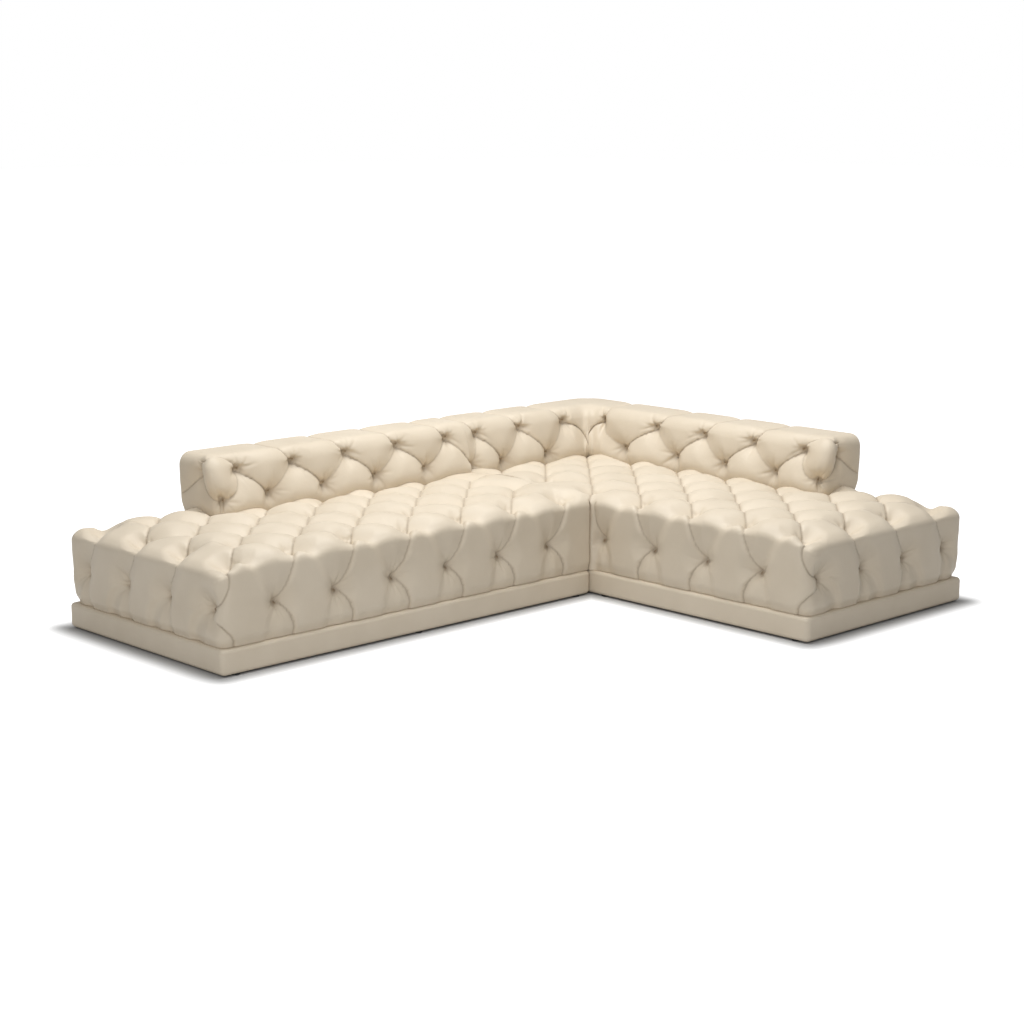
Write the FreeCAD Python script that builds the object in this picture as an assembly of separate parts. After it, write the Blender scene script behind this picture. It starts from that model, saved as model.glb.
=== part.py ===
import FreeCAD, Part
import math
import os

# A low tufted sofa in two sections that meet in an L. Sizes are in millimetres.
# Each section is built in its own frame: x runs along its length, y from its front to its rear,
# and z up from the floor.

# Section outline and tufting
section_depth = 1000.0
tuft_pitch = 274.5
left_tufts = 6
right_tufts = 7
end_margin = 236.5
front_row_margin = 85.0
rear_row_margin = 116.0
seat_rows = 7
joint_gap = 0.6
fit = 0.3
cut_through = 1.0

# Plinth and what it stands on
glide_height = 6.0
glide_diameter = 36.0
glide_stem = 8.0
glide_stem_length = 18.0
glide_end_offset = 70.0
glide_taper = 2.0
glide_pairs = 3
plinth_height = 100.0
plinth_wrap = 12.0
plinth_top_wrap = 6.0
plinth_ledge = 58.0
plinth_corner = 22.0
plinth_edge = 14.0
plinth_rail = 22.0
plinth_cross_margin = 165.0
plinth_cross_spacing = 520.0
least_cross_rails = 3
plinth_screw = 6.0
plinth_screw_head = 12.0
plinth_screw_head_height = 4.0
plinth_screw_sink = 40.0
plinth_screw_bite = 26.0
dust_cover_thickness = 1.0
dust_cover_inset = 16.0

# Seat frame, webbing and foam
frame_ledge_gap = 2.0
seat_rail = 30.0
seat_rail_height = 150.0
seat_cross_height = 60.0
strap_width = 60.0
strap_thickness = 2.0
strap_margin = 167.0
strap_pitch = 137.25
seat_foam_height = 84.0

# Tufted seat jacket
seat_crest = 412.0
seat_pleat_depth = 24.0
seat_pit_depth = 42.0
edge_pit_extra = 10.0
side_pit_height = 232.0
side_pit_depth = 26.0
side_scallop = 12.0
side_bottom_inset = 26.0
side_swell_inset = 6.0
jacket_corner = 45.0
crest_stock = 6.0
top_round_share = 0.4
top_inset_share = 0.6
crest_inset_share = 1.6
low_swell_share = 1.5
shoulder_inset_share = 2.0
scallop_shares = (0.3, 0.7, 1.0, 0.8, 0.5, 0.3, 0.2)
joint_face_inset = 0.5
joint_corner = 12.0
pit_mouth = 30.0
pit_floor = 5.0
crown_steps = (0.0, 0.18, 0.5, 0.82)

# Ties that hold the tufts
tie_twine = 3.0
tie_knot = 6.0
tie_knot_height = 3.0
tie_washer = 16.0
tie_washer_height = 2.0
tie_clearance = 0.4

# Low backs
back_setback = 505.0
back_floor = 350.0
back_height = 625.0
back_thickness = 290.0
back_lean = 16.0
back_rear_inset = 8.0
back_top_radius = 52.0
back_rear_radius = 30.0
back_foot_radius = 20.0
back_end_round = 42.0
end_round_steps = ((0.0, 0.7), (0.3, 0.22), (1.0, 0.0))
raked_bow = 0.27
square_bow = 0.293
rear_taper = 0.5
back_crest_stock = 2.0
back_pleat_depth = 22.0
back_pit_depth = 44.0
back_lower_row = 446.0
back_upper_row = 565.0
back_pitch = 277.0
back_end_margin = 115.0
wing_pitch = 270.0
wing_margin = 48.0
back_cavity_front = 150.0
back_cavity_rear = 36.0
back_cavity_roof = 45.0
back_cavity_end = 60.0
back_joint_wall = 30.0
back_tuft_edge = 40.0
mitre_clear = 0.3

# Back frame
post_width = 50.0
post_depth = 30.0
post_foot_gap = 10.0
post_slot_clear = 0.5
left_back_posts = 3
side_back_posts = 4
post_end_margin = 110.0
post_joint_margin = 200.0
wing_post_margin = 160.0
side_post_start = 330.0
back_rail_height = 40.0
back_rail = 22.0
back_rail_low = 30.0
bolt_shank = 8.0
bolt_head = 16.0
bolt_head_height = 5.0
bolt_bite = 22.0
bolt_drop = 20.0
bolt_spacing = 40.0
hole_clear = 0.6

# Connector between the sections
connector_place = 500.0
connector_height = 48.0
tongue_width = 40.0
tongue_thickness = 5.0
tongue_reach = 46.0
jaw_clear = 0.4
jaw_arm = 4.0
jaw_length = 44.0
plate_thickness = 3.0
plate_width = 90.0
plate_height = 54.0
plate_screw = 4.0
plate_screw_head = 8.0
plate_screw_head_height = 2.5
plate_screw_bite = 16.0
plate_screw_edge = 10.0
slot_clear = 4.0

# Sizes that follow from those above
left_length = (left_tufts - 1) * tuft_pitch + 2 * end_margin
right_length = (right_tufts - 1) * tuft_pitch + 2 * end_margin
row_pitch = (section_depth - front_row_margin - rear_row_margin) / (seat_rows - 1)
half_pitch = tuft_pitch / 2
column_margin = end_margin - half_pitch
cavity_inset = plinth_ledge + frame_ledge_gap
rail_inset = cavity_inset + fit
rail_floor = plinth_height - plinth_top_wrap - fit
rail_top = rail_floor + seat_rail_height
strap_top = rail_top + strap_thickness
foam_floor = strap_top + fit
cavity_roof = foam_floor + seat_foam_height + fit
plinth_inner = plinth_wrap + fit
total_length = left_length + section_depth
total_width = right_length
lean_slope = math.tan(math.radians(back_lean))
seat_pleat = seat_crest - seat_pleat_depth
side_back_length = right_length - back_setback
left_back_length = left_length - joint_gap - back_setback


def vec(x, y, z):
    return FreeCAD.Vector(x, y, z)


def turned(angle, x, y):
    """Placement that turns about the vertical and then moves."""
    return FreeCAD.Placement(vec(x, y, 0), FreeCAD.Rotation(vec(0, 0, 1), angle))


def moved(shape, placement):
    copy = shape.copy()
    copy.Placement = placement.multiply(copy.Placement)
    return copy


def block(x0, x1, y0, y1, z0, z1):
    return Part.makeBox(x1 - x0, y1 - y0, z1 - z0, vec(x0, y0, z0))


def rod(start, direction, radius, length):
    return Part.makeCylinder(radius, length, start, direction)


def save(name, solids):
    shape = solids[0] if len(solids) == 1 else Part.makeCompound(solids)
    shape.exportStep("parts/" + name + ".step")


def evenly(first, last, count):
    step = (last - first) / (count - 1)
    return [first + step * i for i in range(count)]


# Where each section stands: the origin is the middle of the sofa's footprint, on the floor
left_place = turned(0, -total_length / 2, total_width / 2 - section_depth)
right_place = turned(-90, left_length - total_length / 2, total_width / 2)


# Tufting: pleats run along both diagonals of a lattice of pits
def ridges(origin, half, row, sign, reach, crest, pleat, floor):
    """A slab whose top is a run of crowned strips, with one family of pleats between them."""
    spacing = 2 * half * row / math.hypot(half, row)
    count = math.ceil(reach / spacing)
    corners = []
    for k in range(-count, count):
        for share in crown_steps:
            rise = 1 - (1 - 2 * share) ** 2
            corners.append(vec((k + share) * spacing, 0, pleat + rise * (crest - pleat)))
    side = count * spacing
    corners += [vec(side, 0, pleat), vec(side, 0, floor), vec(-side, 0, floor), corners[0]]
    slab = Part.Face(Part.makePolygon(corners)).extrude(vec(0, 2 * reach, 0))
    slab.translate(vec(0, -reach, 0))
    angle = math.degrees(math.atan2(sign * row, half)) - 90
    return moved(slab, turned(angle, origin[0], origin[1]))


def pit(floor_point, direction, depth):
    return Part.makeCone(pit_floor, pit_mouth, depth, floor_point, direction)


def tie(anchor, direction, length, grow=0.0):
    """Washer, twine and knot of one tuft, from its anchor outwards to the pit floor."""
    start = anchor - direction * grow
    washer = rod(start, direction, tie_washer / 2 + grow, tie_washer_height + 2 * grow)
    twine = rod(start, direction, tie_twine / 2 + grow, length + 2 * grow)
    knot = rod(anchor + direction * length, direction, tie_knot / 2 + grow, tie_knot_height)
    return washer.fuse([twine, knot]).removeSplitter()


def outline(length, level, inset, bulge, fronts, ends, rears, starts, flush_end, flush_front):
    """One level outline of a seat jacket: arcs between side tufts, lines and round corners."""
    groove = inset + bulge
    end_in = joint_face_inset if flush_end else inset
    corner_end = joint_corner if flush_end else jacket_corner
    front_in = joint_face_inset if flush_front else inset
    corner_start = joint_corner if flush_front else jacket_corner
    x1 = length - end_in
    y1 = section_depth - inset
    edges = []

    def at(x, y):
        return vec(x, y, level)

    def corner(a, centre, b):
        out = (a - centre) + (b - centre)
        out.normalize()
        edges.append(Part.Arc(a, centre + out * (a - centre).Length, b).toShape())

    def side(a, stops, b, normal):
        here = a
        for i, stop in enumerate(stops):
            if i == 0:
                edges.append(Part.makeLine(here, stop))
            else:
                middle = (here + stop) * 0.5 + normal * bulge
                edges.append(Part.Arc(here, middle, stop).toShape())
            here = stop
        edges.append(Part.makeLine(here, b))

    front_start = at(inset + corner_start, front_in)
    if flush_front:
        step_from = at(section_depth - joint_gap, front_in)
        edges.append(Part.makeLine(front_start, step_from))
        step_to = at(section_depth + side_bottom_inset, groove)
        edges.append(Part.makeLine(step_from, step_to))
        front_start = step_to
    front_stop = at(x1 - corner_end, inset)
    side(front_start, [at(x, groove) for x in fronts], front_stop, vec(0, -1, 0))
    end_start = at(x1, inset + corner_end)
    corner(front_stop, at(x1 - corner_end, inset + corner_end), end_start)
    end_stop = at(x1, y1 - corner_end)
    side(end_start, [at(length - groove, y) for y in ends], end_stop, vec(1, 0, 0))
    rear_start = at(x1 - corner_end, y1)
    corner(end_stop, at(x1 - corner_end, y1 - corner_end), rear_start)
    rear_stop = at(inset + jacket_corner, y1)
    side(rear_start, [at(x, section_depth - groove) for x in reversed(rears)], rear_stop, vec(0, 1, 0))
    start_start = at(inset, y1 - jacket_corner)
    corner(rear_stop, at(inset + jacket_corner, y1 - jacket_corner), start_start)
    start_stop = at(inset, front_in + corner_start)
    side(start_start, [at(groove, y) for y in reversed(starts)], start_stop, vec(-1, 0, 0))
    first = at(inset + corner_start, front_in)
    corner(start_stop, at(inset + corner_start, front_in + corner_start), first)
    return Part.Wire(edges)


def seat_form(length, sides, flush_end, flush_front):
    """The jacket's outer form: drawn in at the foot, swelling at the tufts, rounded over at the top."""
    shoulder = seat_crest - jacket_corner
    levels = [
        (plinth_height, side_bottom_inset),
        ((plinth_height + side_pit_height) / 2, side_swell_inset * low_swell_share),
        (side_pit_height, side_swell_inset),
        ((side_pit_height + shoulder) / 2, side_swell_inset),
        (shoulder, side_swell_inset * shoulder_inset_share),
        (seat_crest - jacket_corner * top_round_share, jacket_corner * top_inset_share),
        (seat_crest + crest_stock, jacket_corner * crest_inset_share),
    ]
    wires = []
    for (level, inset), share in zip(levels, scallop_shares):
        wires.append(outline(length, level, inset, side_scallop * share, *sides, flush_end, flush_front))
    return Part.makeLoft(wires, True, True)


def seat_lattice(length):
    """Lattice places on a seat, as (column, row, x, y)."""
    columns = round((length - 2 * column_margin) / half_pitch) + 1
    places = []
    for c in range(columns):
        for r in range(seat_rows):
            if (c + r) % 2 == 0:
                places.append((c, r, column_margin + c * half_pitch, front_row_margin + r * row_pitch))
    return places


# Plinth
def plinth_slots(length, slots):
    """Openings that the connector passes through, as blocks across a plinth wall."""
    half = tongue_width / 2 + slot_clear
    low = connector_height - tongue_thickness / 2 - slot_clear
    high = connector_height + tongue_thickness / 2 + slot_clear
    inner = plinth_inner + plinth_rail
    cutters = []
    for side in slots:
        if side == "end":
            cutters.append(block(length - plinth_ledge, length + cut_through, connector_place - half,
                                 connector_place + half, low, high))
            stand = FreeCAD.Placement(vec(length - inner, connector_place, connector_height),
                                      FreeCAD.Rotation(vec(0, 0, 1), 180))
        else:
            along = section_depth - connector_place
            cutters.append(block(along - half, along + half, -cut_through, plinth_ledge, low, high))
            stand = FreeCAD.Placement(vec(along, inner, connector_height),
                                      FreeCAD.Rotation(vec(0, 0, 1), 90))
        cutters += [moved(bore, stand) for bore in screw_bores(plate_screw_bite + fit)]
    return cutters


def plinth_cover(length, slots):
    body = block(0, length, 0, section_depth, glide_height, plinth_height)
    upright = [e for e in body.Edges if abs(e.tangentAt(e.FirstParameter).z) > 0.9]
    body = body.makeFillet(plinth_corner, upright)
    level = [e for e in body.Edges if e.BoundBox.ZLength < 0.001]
    body = body.makeFillet(plinth_edge, level)
    w = plinth_wrap
    hollow = block(w, length - w, w, section_depth - w, 0, plinth_height - plinth_top_wrap)
    p = plinth_ledge
    mouth = block(p, length - p, p, section_depth - p, 0, plinth_height + cut_through)
    return body.cut([hollow, mouth] + plinth_slots(length, slots))


def glide_places(length):
    y = plinth_inner + plinth_rail / 2
    return [(x, v) for x in evenly(glide_end_offset, length - glide_end_offset, glide_pairs)
            for v in (y, section_depth - y)]


def glide_holes(length):
    radius = (glide_stem + hole_clear) / 2
    return [rod(vec(x, y, 0), vec(0, 0, 1), radius, glide_height + glide_stem_length + fit)
            for x, y in glide_places(length)]


def glides(length):
    radius = glide_diameter / 2
    made = []
    for x, y in glide_places(length):
        pad = Part.makeCone(radius - glide_taper, radius, glide_height, vec(x, y, 0))
        stem = rod(vec(x, y, glide_height), vec(0, 0, 1), glide_stem / 2, glide_stem_length)
        made.append(pad.fuse(stem).removeSplitter())
    return made


def cross_places(length):
    count = max(least_cross_rails, round((length - 2 * plinth_cross_margin) / plinth_cross_spacing) + 1)
    return evenly(plinth_cross_margin, length - plinth_cross_margin, count)


def screw_places(length):
    y = rail_inset + seat_rail / 2
    return [(x, v) for x in cross_places(length) for v in (y, section_depth - y)]


def plinth_screws(length):
    made = []
    shank_low = glide_height + plinth_screw_sink
    shank_length = rail_floor + plinth_screw_bite - shank_low
    head_low = shank_low - plinth_screw_head_height
    for x, y in screw_places(length):
        head = rod(vec(x, y, head_low), vec(0, 0, 1), plinth_screw_head / 2, plinth_screw_head_height)
        shank = rod(vec(x, y, shank_low), vec(0, 0, 1), plinth_screw / 2, shank_length)
        made.append(head.fuse(shank).removeSplitter())
    return made


def screw_holes(length):
    made = []
    for x, y in screw_places(length):
        sink = rod(vec(x, y, 0), vec(0, 0, 1), (plinth_screw_head + hole_clear) / 2,
                   glide_height + plinth_screw_sink)
        bore = rod(vec(x, y, 0), vec(0, 0, 1), (plinth_screw + hole_clear) / 2,
                   rail_floor + plinth_screw_bite + fit)
        made += [sink, bore]
    return made


def plinth_rails(length, slots):
    """Long rails, end rails and cross rails of one plinth."""
    i = plinth_inner
    cutters = glide_holes(length) + plinth_slots(length, slots)
    longs = []
    for y in (i, section_depth - i - plinth_rail):
        rail = block(i, length - i, y, y + plinth_rail, glide_height, rail_floor)
        longs.append(rail.cut(cutters))
    inner = i + plinth_rail
    ends = []
    for x in (i, length - i - plinth_rail):
        rail = block(x, x + plinth_rail, inner, section_depth - inner, glide_height, rail_floor)
        ends.append(rail.cut(plinth_slots(length, slots)))
    crosses = []
    holes = screw_holes(length)
    for x in cross_places(length):
        rail = block(x - plinth_rail / 2, x + plinth_rail / 2, inner, section_depth - inner,
                     glide_height, rail_floor)
        crosses.append(rail.cut(holes))
    return longs, ends, crosses


def dust_cover(length):
    d = dust_cover_inset
    sheet = block(d, length - d, d, section_depth - d, glide_height - dust_cover_thickness, glide_height)
    radius = glide_diameter / 2 + fit
    high = glide_height + cut_through
    holes = [rod(vec(x, y, 0), vec(0, 0, 1), radius, high) for x, y in glide_places(length)]
    holes += [rod(vec(x, y, 0), vec(0, 0, 1), plinth_screw_head / 2 + hole_clear, high)
              for x, y in screw_places(length)]
    return sheet.cut(holes)


# Seat frame
def seat_rails(length, bolt_holes):
    i = rail_inset
    cutters = screw_holes(length) + bolt_holes
    longs = []
    for y in (i, section_depth - i - seat_rail):
        longs.append(block(i, length - i, y, y + seat_rail, rail_floor, rail_top).cut(cutters))
    inner = i + seat_rail
    ends = []
    for x in (i, length - i - seat_rail):
        rail = block(x, x + seat_rail, inner, section_depth - inner, rail_floor, rail_top)
        ends.append(rail.cut(bolt_holes) if bolt_holes else rail)
    crosses = []
    for x in cross_places(length):
        crosses.append(block(x - seat_rail / 2, x + seat_rail / 2, inner, section_depth - inner,
                             rail_floor, rail_floor + seat_cross_height))
    return longs, ends, crosses


def straps(length):
    count = int((length - 2 * strap_margin) / strap_pitch) + 1
    i = rail_inset
    return [block(x - strap_width / 2, x + strap_width / 2, i, section_depth - i, rail_top, strap_top)
            for x in (strap_margin + k * strap_pitch for k in range(count))]


def strap_gap(x):
    """Middle of the gap between straps that lies nearest to x."""
    k = round((x - strap_margin) / strap_pitch - 0.5)
    return strap_margin + (k + 0.5) * strap_pitch


# Backs: x along the back, y = 0 at the section's rear edge and falling towards the seat
def back_face(level):
    return -back_thickness + (level - back_floor) * lean_slope


def back_section(x, inset):
    """Upright cross-section of a back: raked front, rounded top and foot."""
    rear = -back_rear_inset - inset * rear_taper
    top = back_height - inset
    low = back_floor + fit
    up = vec(0, math.sin(math.radians(back_lean)), math.cos(math.radians(back_lean)))
    foot = vec(x, back_face(low) + inset, low)
    along = vec(0, back_foot_radius, 0)
    foot_in = foot + along
    foot_up = foot + up * back_foot_radius
    foot_mid = foot + (along + up * back_foot_radius) * raked_bow
    head = vec(x, back_face(top) + inset, top)
    head_low = head - up * back_top_radius
    head_in = head + vec(0, back_top_radius, 0)
    head_mid = head + (vec(0, back_top_radius, 0) - up * back_top_radius) * raked_bow
    rear_in = vec(x, rear - back_rear_radius, top)
    rear_low = vec(x, rear, top - back_rear_radius)
    rear_mid = vec(x, rear - back_rear_radius * square_bow, top - back_rear_radius * square_bow)
    rear_foot = vec(x, rear, low)
    edges = [
        Part.makeLine(rear_foot, foot_in),
        Part.Arc(foot_in, foot_mid, foot_up).toShape(),
        Part.makeLine(foot_up, head_low),
        Part.Arc(head_low, head_mid, head_in).toShape(),
        Part.makeLine(head_in, rear_in),
        Part.Arc(rear_in, rear_mid, rear_low).toShape(),
        Part.makeLine(rear_low, rear_foot),
    ]
    return Part.Wire(edges)


def back_form(length, free_start, free_end):
    steps = [(back_end_round * along, back_end_round * inset) for along, inset in end_round_steps]
    places = list(steps) if free_start else [(0, 0)]
    places += [(length - x, d) for x, d in reversed(steps)] if free_end else [(length, 0)]
    return Part.makeLoft([back_section(x, d) for x, d in places], True, True)


def half_space(angle, offset):
    """Everything beyond an upright plane, whose normal points at this angle and which lies this far out."""
    big = 2 * (left_length + right_length)
    return moved(block(offset, big, -big, big, 0, back_height + cut_through), turned(angle, 0, 0))


def row_places(first, pitch, low, high):
    count = int((high - first) / pitch) + 1
    return [first + k * pitch for k in range(count) if first + k * pitch > low]


def back_tufts(length, first, pitch, margin_low, margin_high):
    """Pit places on a back, as (x, level): an upper row and a lower row set half a pitch along."""
    upper = row_places(first, pitch, margin_low, length - margin_high)
    lower = row_places(first - pitch / 2, pitch, margin_low, length - margin_high)
    return [(x, back_upper_row) for x in upper] + [(x, back_lower_row) for x in lower]


def back_jacket(form, length, first, pitch, tufts, cavity, ties):
    slant = back_upper_row - back_lower_row
    row = slant / math.cos(math.radians(back_lean))
    face = vec(0, back_face(back_upper_row), back_upper_row)
    lay = FreeCAD.Placement(face, FreeCAD.Rotation(vec(1, 0, 0), 90 - back_lean))
    body = form
    for sign in (1, -1):
        slab = ridges((first, 0), pitch / 2, row, sign, 2 * length, -back_crest_stock,
                      -back_crest_stock - back_pleat_depth, -section_depth)
        body = body.common(moved(slab, lay))
    cutters = [cavity]
    for x, level in tufts:
        floor = vec(x, back_face(level) + back_pit_depth, level)
        cutters.append(pit(floor, vec(0, -1, 0), back_pit_depth + back_crest_stock))
    return body.cut(cutters + ties)


def back_ties(tufts, grow):
    made = []
    for x, level in tufts:
        anchor = vec(x, -back_cavity_front - fit, level)
        reach = anchor.y - (back_face(level) + back_pit_depth)
        made.append(tie(anchor, vec(0, -1, 0), reach, grow))
    return made


def posts(places):
    y = -(rail_inset + seat_rail)
    foot = rail_floor + seat_cross_height + post_foot_gap
    top = back_height - back_cavity_roof - fit
    return [block(x - post_width / 2, x + post_width / 2, y - post_depth, y, foot, top) for x in places]


def post_slots(places):
    c = post_slot_clear
    y = -(rail_inset + seat_rail)
    return [block(x - post_width / 2 - c, x + post_width / 2 + c, y - post_depth - c, y + c,
                  strap_top, back_height) for x in places]


def bolt_places(places):
    high = rail_top - bolt_drop
    return [(x, z) for x in places for z in (high, high - bolt_spacing)]


def bolts(places):
    made = []
    y = -(rail_inset + seat_rail + post_depth)
    for x, z in bolt_places(places):
        head = rod(vec(x, y - bolt_head_height, z), vec(0, 1, 0), bolt_head / 2, bolt_head_height)
        shank = rod(vec(x, y, z), vec(0, 1, 0), bolt_shank / 2, post_depth + bolt_bite)
        made.append(head.fuse(shank).removeSplitter())
    return made


def bolt_holes(places):
    y = -(rail_inset + seat_rail + post_depth) - cut_through
    radius = (bolt_shank + hole_clear) / 2
    return [rod(vec(x, y, z), vec(0, 1, 0), radius, cut_through + post_depth + bolt_bite + fit)
            for x, z in bolt_places(places)]


def make_back(prefix, place, form, length, first, pitch, tufts, inner, post_places):
    """One back with its frame, foam, jacket and ties. inner is the reach of its cavity along x."""
    x0, x1 = inner
    roof = back_height - back_cavity_roof
    cavity = block(x0, x1, -back_cavity_front, -back_cavity_rear, 0, roof)
    jacket = back_jacket(form, length, first, pitch, tufts, cavity, back_ties(tufts, tie_clearance))
    post_face = -(rail_inset + seat_rail + post_depth)
    foam = block(x0 + fit, x1 - fit, -back_cavity_front + fit, post_face - fit, back_floor + fit, roof - fit)
    rails = []
    for low in (back_floor + back_rail_low, roof - fit - back_rail_height):
        y = post_face + post_depth
        rails.append(block(x0 + fit, x1 - fit, y, y + back_rail, low, low + back_rail_height))
    parts = {
        "jacket": [jacket],
        "ties": back_ties(tufts, 0.0),
        "foam": [foam],
        "rails": rails,
        "posts": [p.cut(bolt_holes(post_places)) for p in posts(post_places)],
        "bolts": bolts(post_places),
    }
    for name, solids in parts.items():
        save(prefix + "_" + name, [moved(s, place) for s in solids])


def make_section(name, length, place, slots, sides, flush, backs):
    """One section: plinth, seat frame, foam, jacket and ties. backs are (placement, posts, footprint)."""
    bolt_cuts, slot_cuts, rebates = [], [], []
    for stand, post_places, footprint in backs:
        bolt_cuts += [moved(s, stand) for s in bolt_holes(post_places)]
        slot_cuts += [moved(s, stand) for s in post_slots(post_places)]
        x0, x1, y0, y1 = footprint
        rebates.append(block(x0, x1, y0, y1, back_floor, seat_crest + cut_through))
    i = rail_inset
    seat_ties, seat_tie_holes, pits = [], [], []

    def add_tie(floor_point, outward, anchor_gap, depth):
        anchor = floor_point - outward * anchor_gap
        seat_ties.append(tie(anchor, outward, anchor_gap))
        seat_tie_holes.append(tie(anchor, outward, anchor_gap, tie_clearance))
        pits.append(pit(floor_point, outward, depth))

    def under_back(x, y):
        m = pit_mouth
        return any(x0 - m < x < x1 + m and y0 - m < y < y1 + m for _, _, (x0, x1, y0, y1) in backs)

    columns = round((length - 2 * column_margin) / half_pitch)
    for c, r, x, y in seat_lattice(length):
        if not under_back(x, y):
            edge = c in (0, columns) or r in (0, seat_rows - 1)
            floor = seat_crest - seat_pit_depth - (edge_pit_extra if edge else 0)
            gap = floor - foam_floor - tie_clearance
            add_tie(vec(x, y, floor), vec(0, 0, 1), gap, seat_pit_depth + edge_pit_extra)
    fronts, ends, rears, starts = sides
    floor_inset = side_swell_inset + side_scallop + side_pit_depth
    gap = cavity_inset - floor_inset - tie_clearance
    deep = floor_inset
    z = side_pit_height
    for x in fronts:
        add_tie(vec(x, floor_inset, z), vec(0, -1, 0), gap, deep)
    for x in rears:
        add_tie(vec(x, section_depth - floor_inset, z), vec(0, 1, 0), gap, deep)
    for y in ends:
        add_tie(vec(length - floor_inset, y, z), vec(1, 0, 0), gap, deep)
    for y in starts:
        add_tie(vec(floor_inset, y, z), vec(-1, 0, 0), gap, deep)

    body = seat_form(length, sides, *flush)
    lattice = (column_margin, front_row_margin)
    reach = length + section_depth
    for sign in (1, -1):
        slab = ridges(lattice, half_pitch, row_pitch, sign, reach, seat_crest, seat_pleat, 0)
        body = body.common(slab)
    k = cavity_inset
    cavity = block(k, length - k, k, section_depth - k, 0, cavity_roof)
    jacket = body.cut(rebates)
    jacket = jacket.cut([cavity] + pits + seat_tie_holes + slot_cuts)
    foam = block(i, length - i, i, section_depth - i, foam_floor, cavity_roof - fit)
    foam = foam.cut(seat_tie_holes + slot_cuts)
    plinth_longs, plinth_ends, plinth_crosses = plinth_rails(length, slots)
    seat_longs, seat_ends, seat_crosses = seat_rails(length, bolt_cuts)
    parts = {
        "plinth_cover": [plinth_cover(length, slots)],
        "plinth_long_rails": plinth_longs,
        "plinth_end_rails": plinth_ends,
        "plinth_cross_rails": plinth_crosses,
        "plinth_screws": plinth_screws(length),
        "glides": glides(length),
        "dust_cover": [dust_cover(length)],
        "seat_long_rails": seat_longs,
        "seat_end_rails": seat_ends,
        "seat_cross_rails": seat_crosses,
        "webbing": straps(length),
        "seat_foam": [foam],
        "seat_jacket": [jacket],
        "seat_ties": seat_ties,
    }
    for part_name, solids in parts.items():
        save(name + "_" + part_name, [moved(s, place) for s in solids])


# Connector: a tongue on the right section slides into a sprung jaw on the left one
def plate_screw_places():
    dy = plate_width / 2 - plate_screw_edge
    dz = plate_height / 2 - plate_screw_edge
    return [(y, z) for y in (-dy, dy) for z in (-dz, dz)]


def plate_screws():
    """Screws of one plate, driven along -x with the plate's face at x = 0."""
    made = []
    for y, z in plate_screw_places():
        head = rod(vec(0, y, z), vec(1, 0, 0), plate_screw_head / 2, plate_screw_head_height)
        shank = rod(vec(0, y, z), vec(-1, 0, 0), plate_screw / 2, plate_thickness + plate_screw_bite)
        made.append(head.fuse(shank).removeSplitter())
    return made


def screw_bores(reach):
    radius = (plate_screw + hole_clear) / 2
    return [rod(vec(cut_through, y, z), vec(-1, 0, 0), radius, reach + cut_through)
            for y, z in plate_screw_places()]


def base_plate():
    w, h = plate_width / 2, plate_height / 2
    return block(-plate_thickness, 0, -w, w, -h, h).cut(screw_bores(plate_thickness))


def jaw():
    """Base plate with two arms; its face is at x = 0 and the arms reach along +x."""
    half = tongue_thickness / 2 + jaw_clear
    w = tongue_width / 2 + slot_clear
    plate = base_plate().cut(block(-plate_thickness - cut_through, cut_through, -w, w, -half, half))
    arms = [block(-plate_thickness, jaw_length, -w, w, half, half + jaw_arm),
            block(-plate_thickness, jaw_length, -w, w, -half - jaw_arm, -half)]
    return plate.fuse(arms).removeSplitter()


def tongue(reach):
    """Base plate with a flat tongue that reaches along -x through the rail."""
    w, t = tongue_width / 2, tongue_thickness / 2
    blade = block(-reach, 0, -w, w, -t, t)
    return base_plate().fuse(blade).removeSplitter()


def make_connector():
    y = left_place.Base.y + connector_place
    left_face = left_place.Base.x + left_length - joint_gap - plinth_inner - plinth_rail
    right_face = right_place.Base.x + plinth_inner + plinth_rail
    jaw_place = FreeCAD.Placement(vec(left_face - plate_thickness, y, connector_height),
                                  FreeCAD.Rotation(vec(0, 0, 1), 180))
    tongue_place = FreeCAD.Placement(vec(right_face + plate_thickness, y, connector_height),
                                     FreeCAD.Rotation())
    tip = left_face - tongue_reach
    save("connector_jaw", [moved(jaw(), jaw_place)])
    save("connector_jaw_screws", [moved(s, jaw_place) for s in plate_screws()])
    save("connector_tongue", [moved(tongue(right_face + plate_thickness - tip), tongue_place)])
    save("connector_tongue_screws", [moved(s, tongue_place) for s in plate_screws()])


def make_left():
    length = left_length - joint_gap
    fronts = [end_margin + tuft_pitch * i for i in range(left_tufts)]
    starts = [front_row_margin + 2 * row_pitch * j for j in range((seat_rows + 1) // 2)]
    stand = turned(0, back_setback, section_depth)
    wanted = evenly(back_setback + post_end_margin, length - post_joint_margin, left_back_posts)
    post_places = [strap_gap(x) - back_setback for x in wanted]
    rear = section_depth + cut_through
    footprint = (back_setback, length + cut_through, section_depth - back_thickness, rear)
    make_section("left", length, left_place, ["end"], (fronts, [], fronts, starts), (True, False),
                 [(stand, post_places, footprint)])
    form = back_form(left_back_length, True, False)
    tufts = back_tufts(left_back_length, back_end_margin, back_pitch, back_tuft_edge, back_tuft_edge)
    inner = (back_cavity_end, left_back_length - back_joint_wall)
    make_back("left_back", left_place.multiply(stand), form, left_back_length, back_end_margin, back_pitch,
              tufts, inner, post_places)


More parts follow.
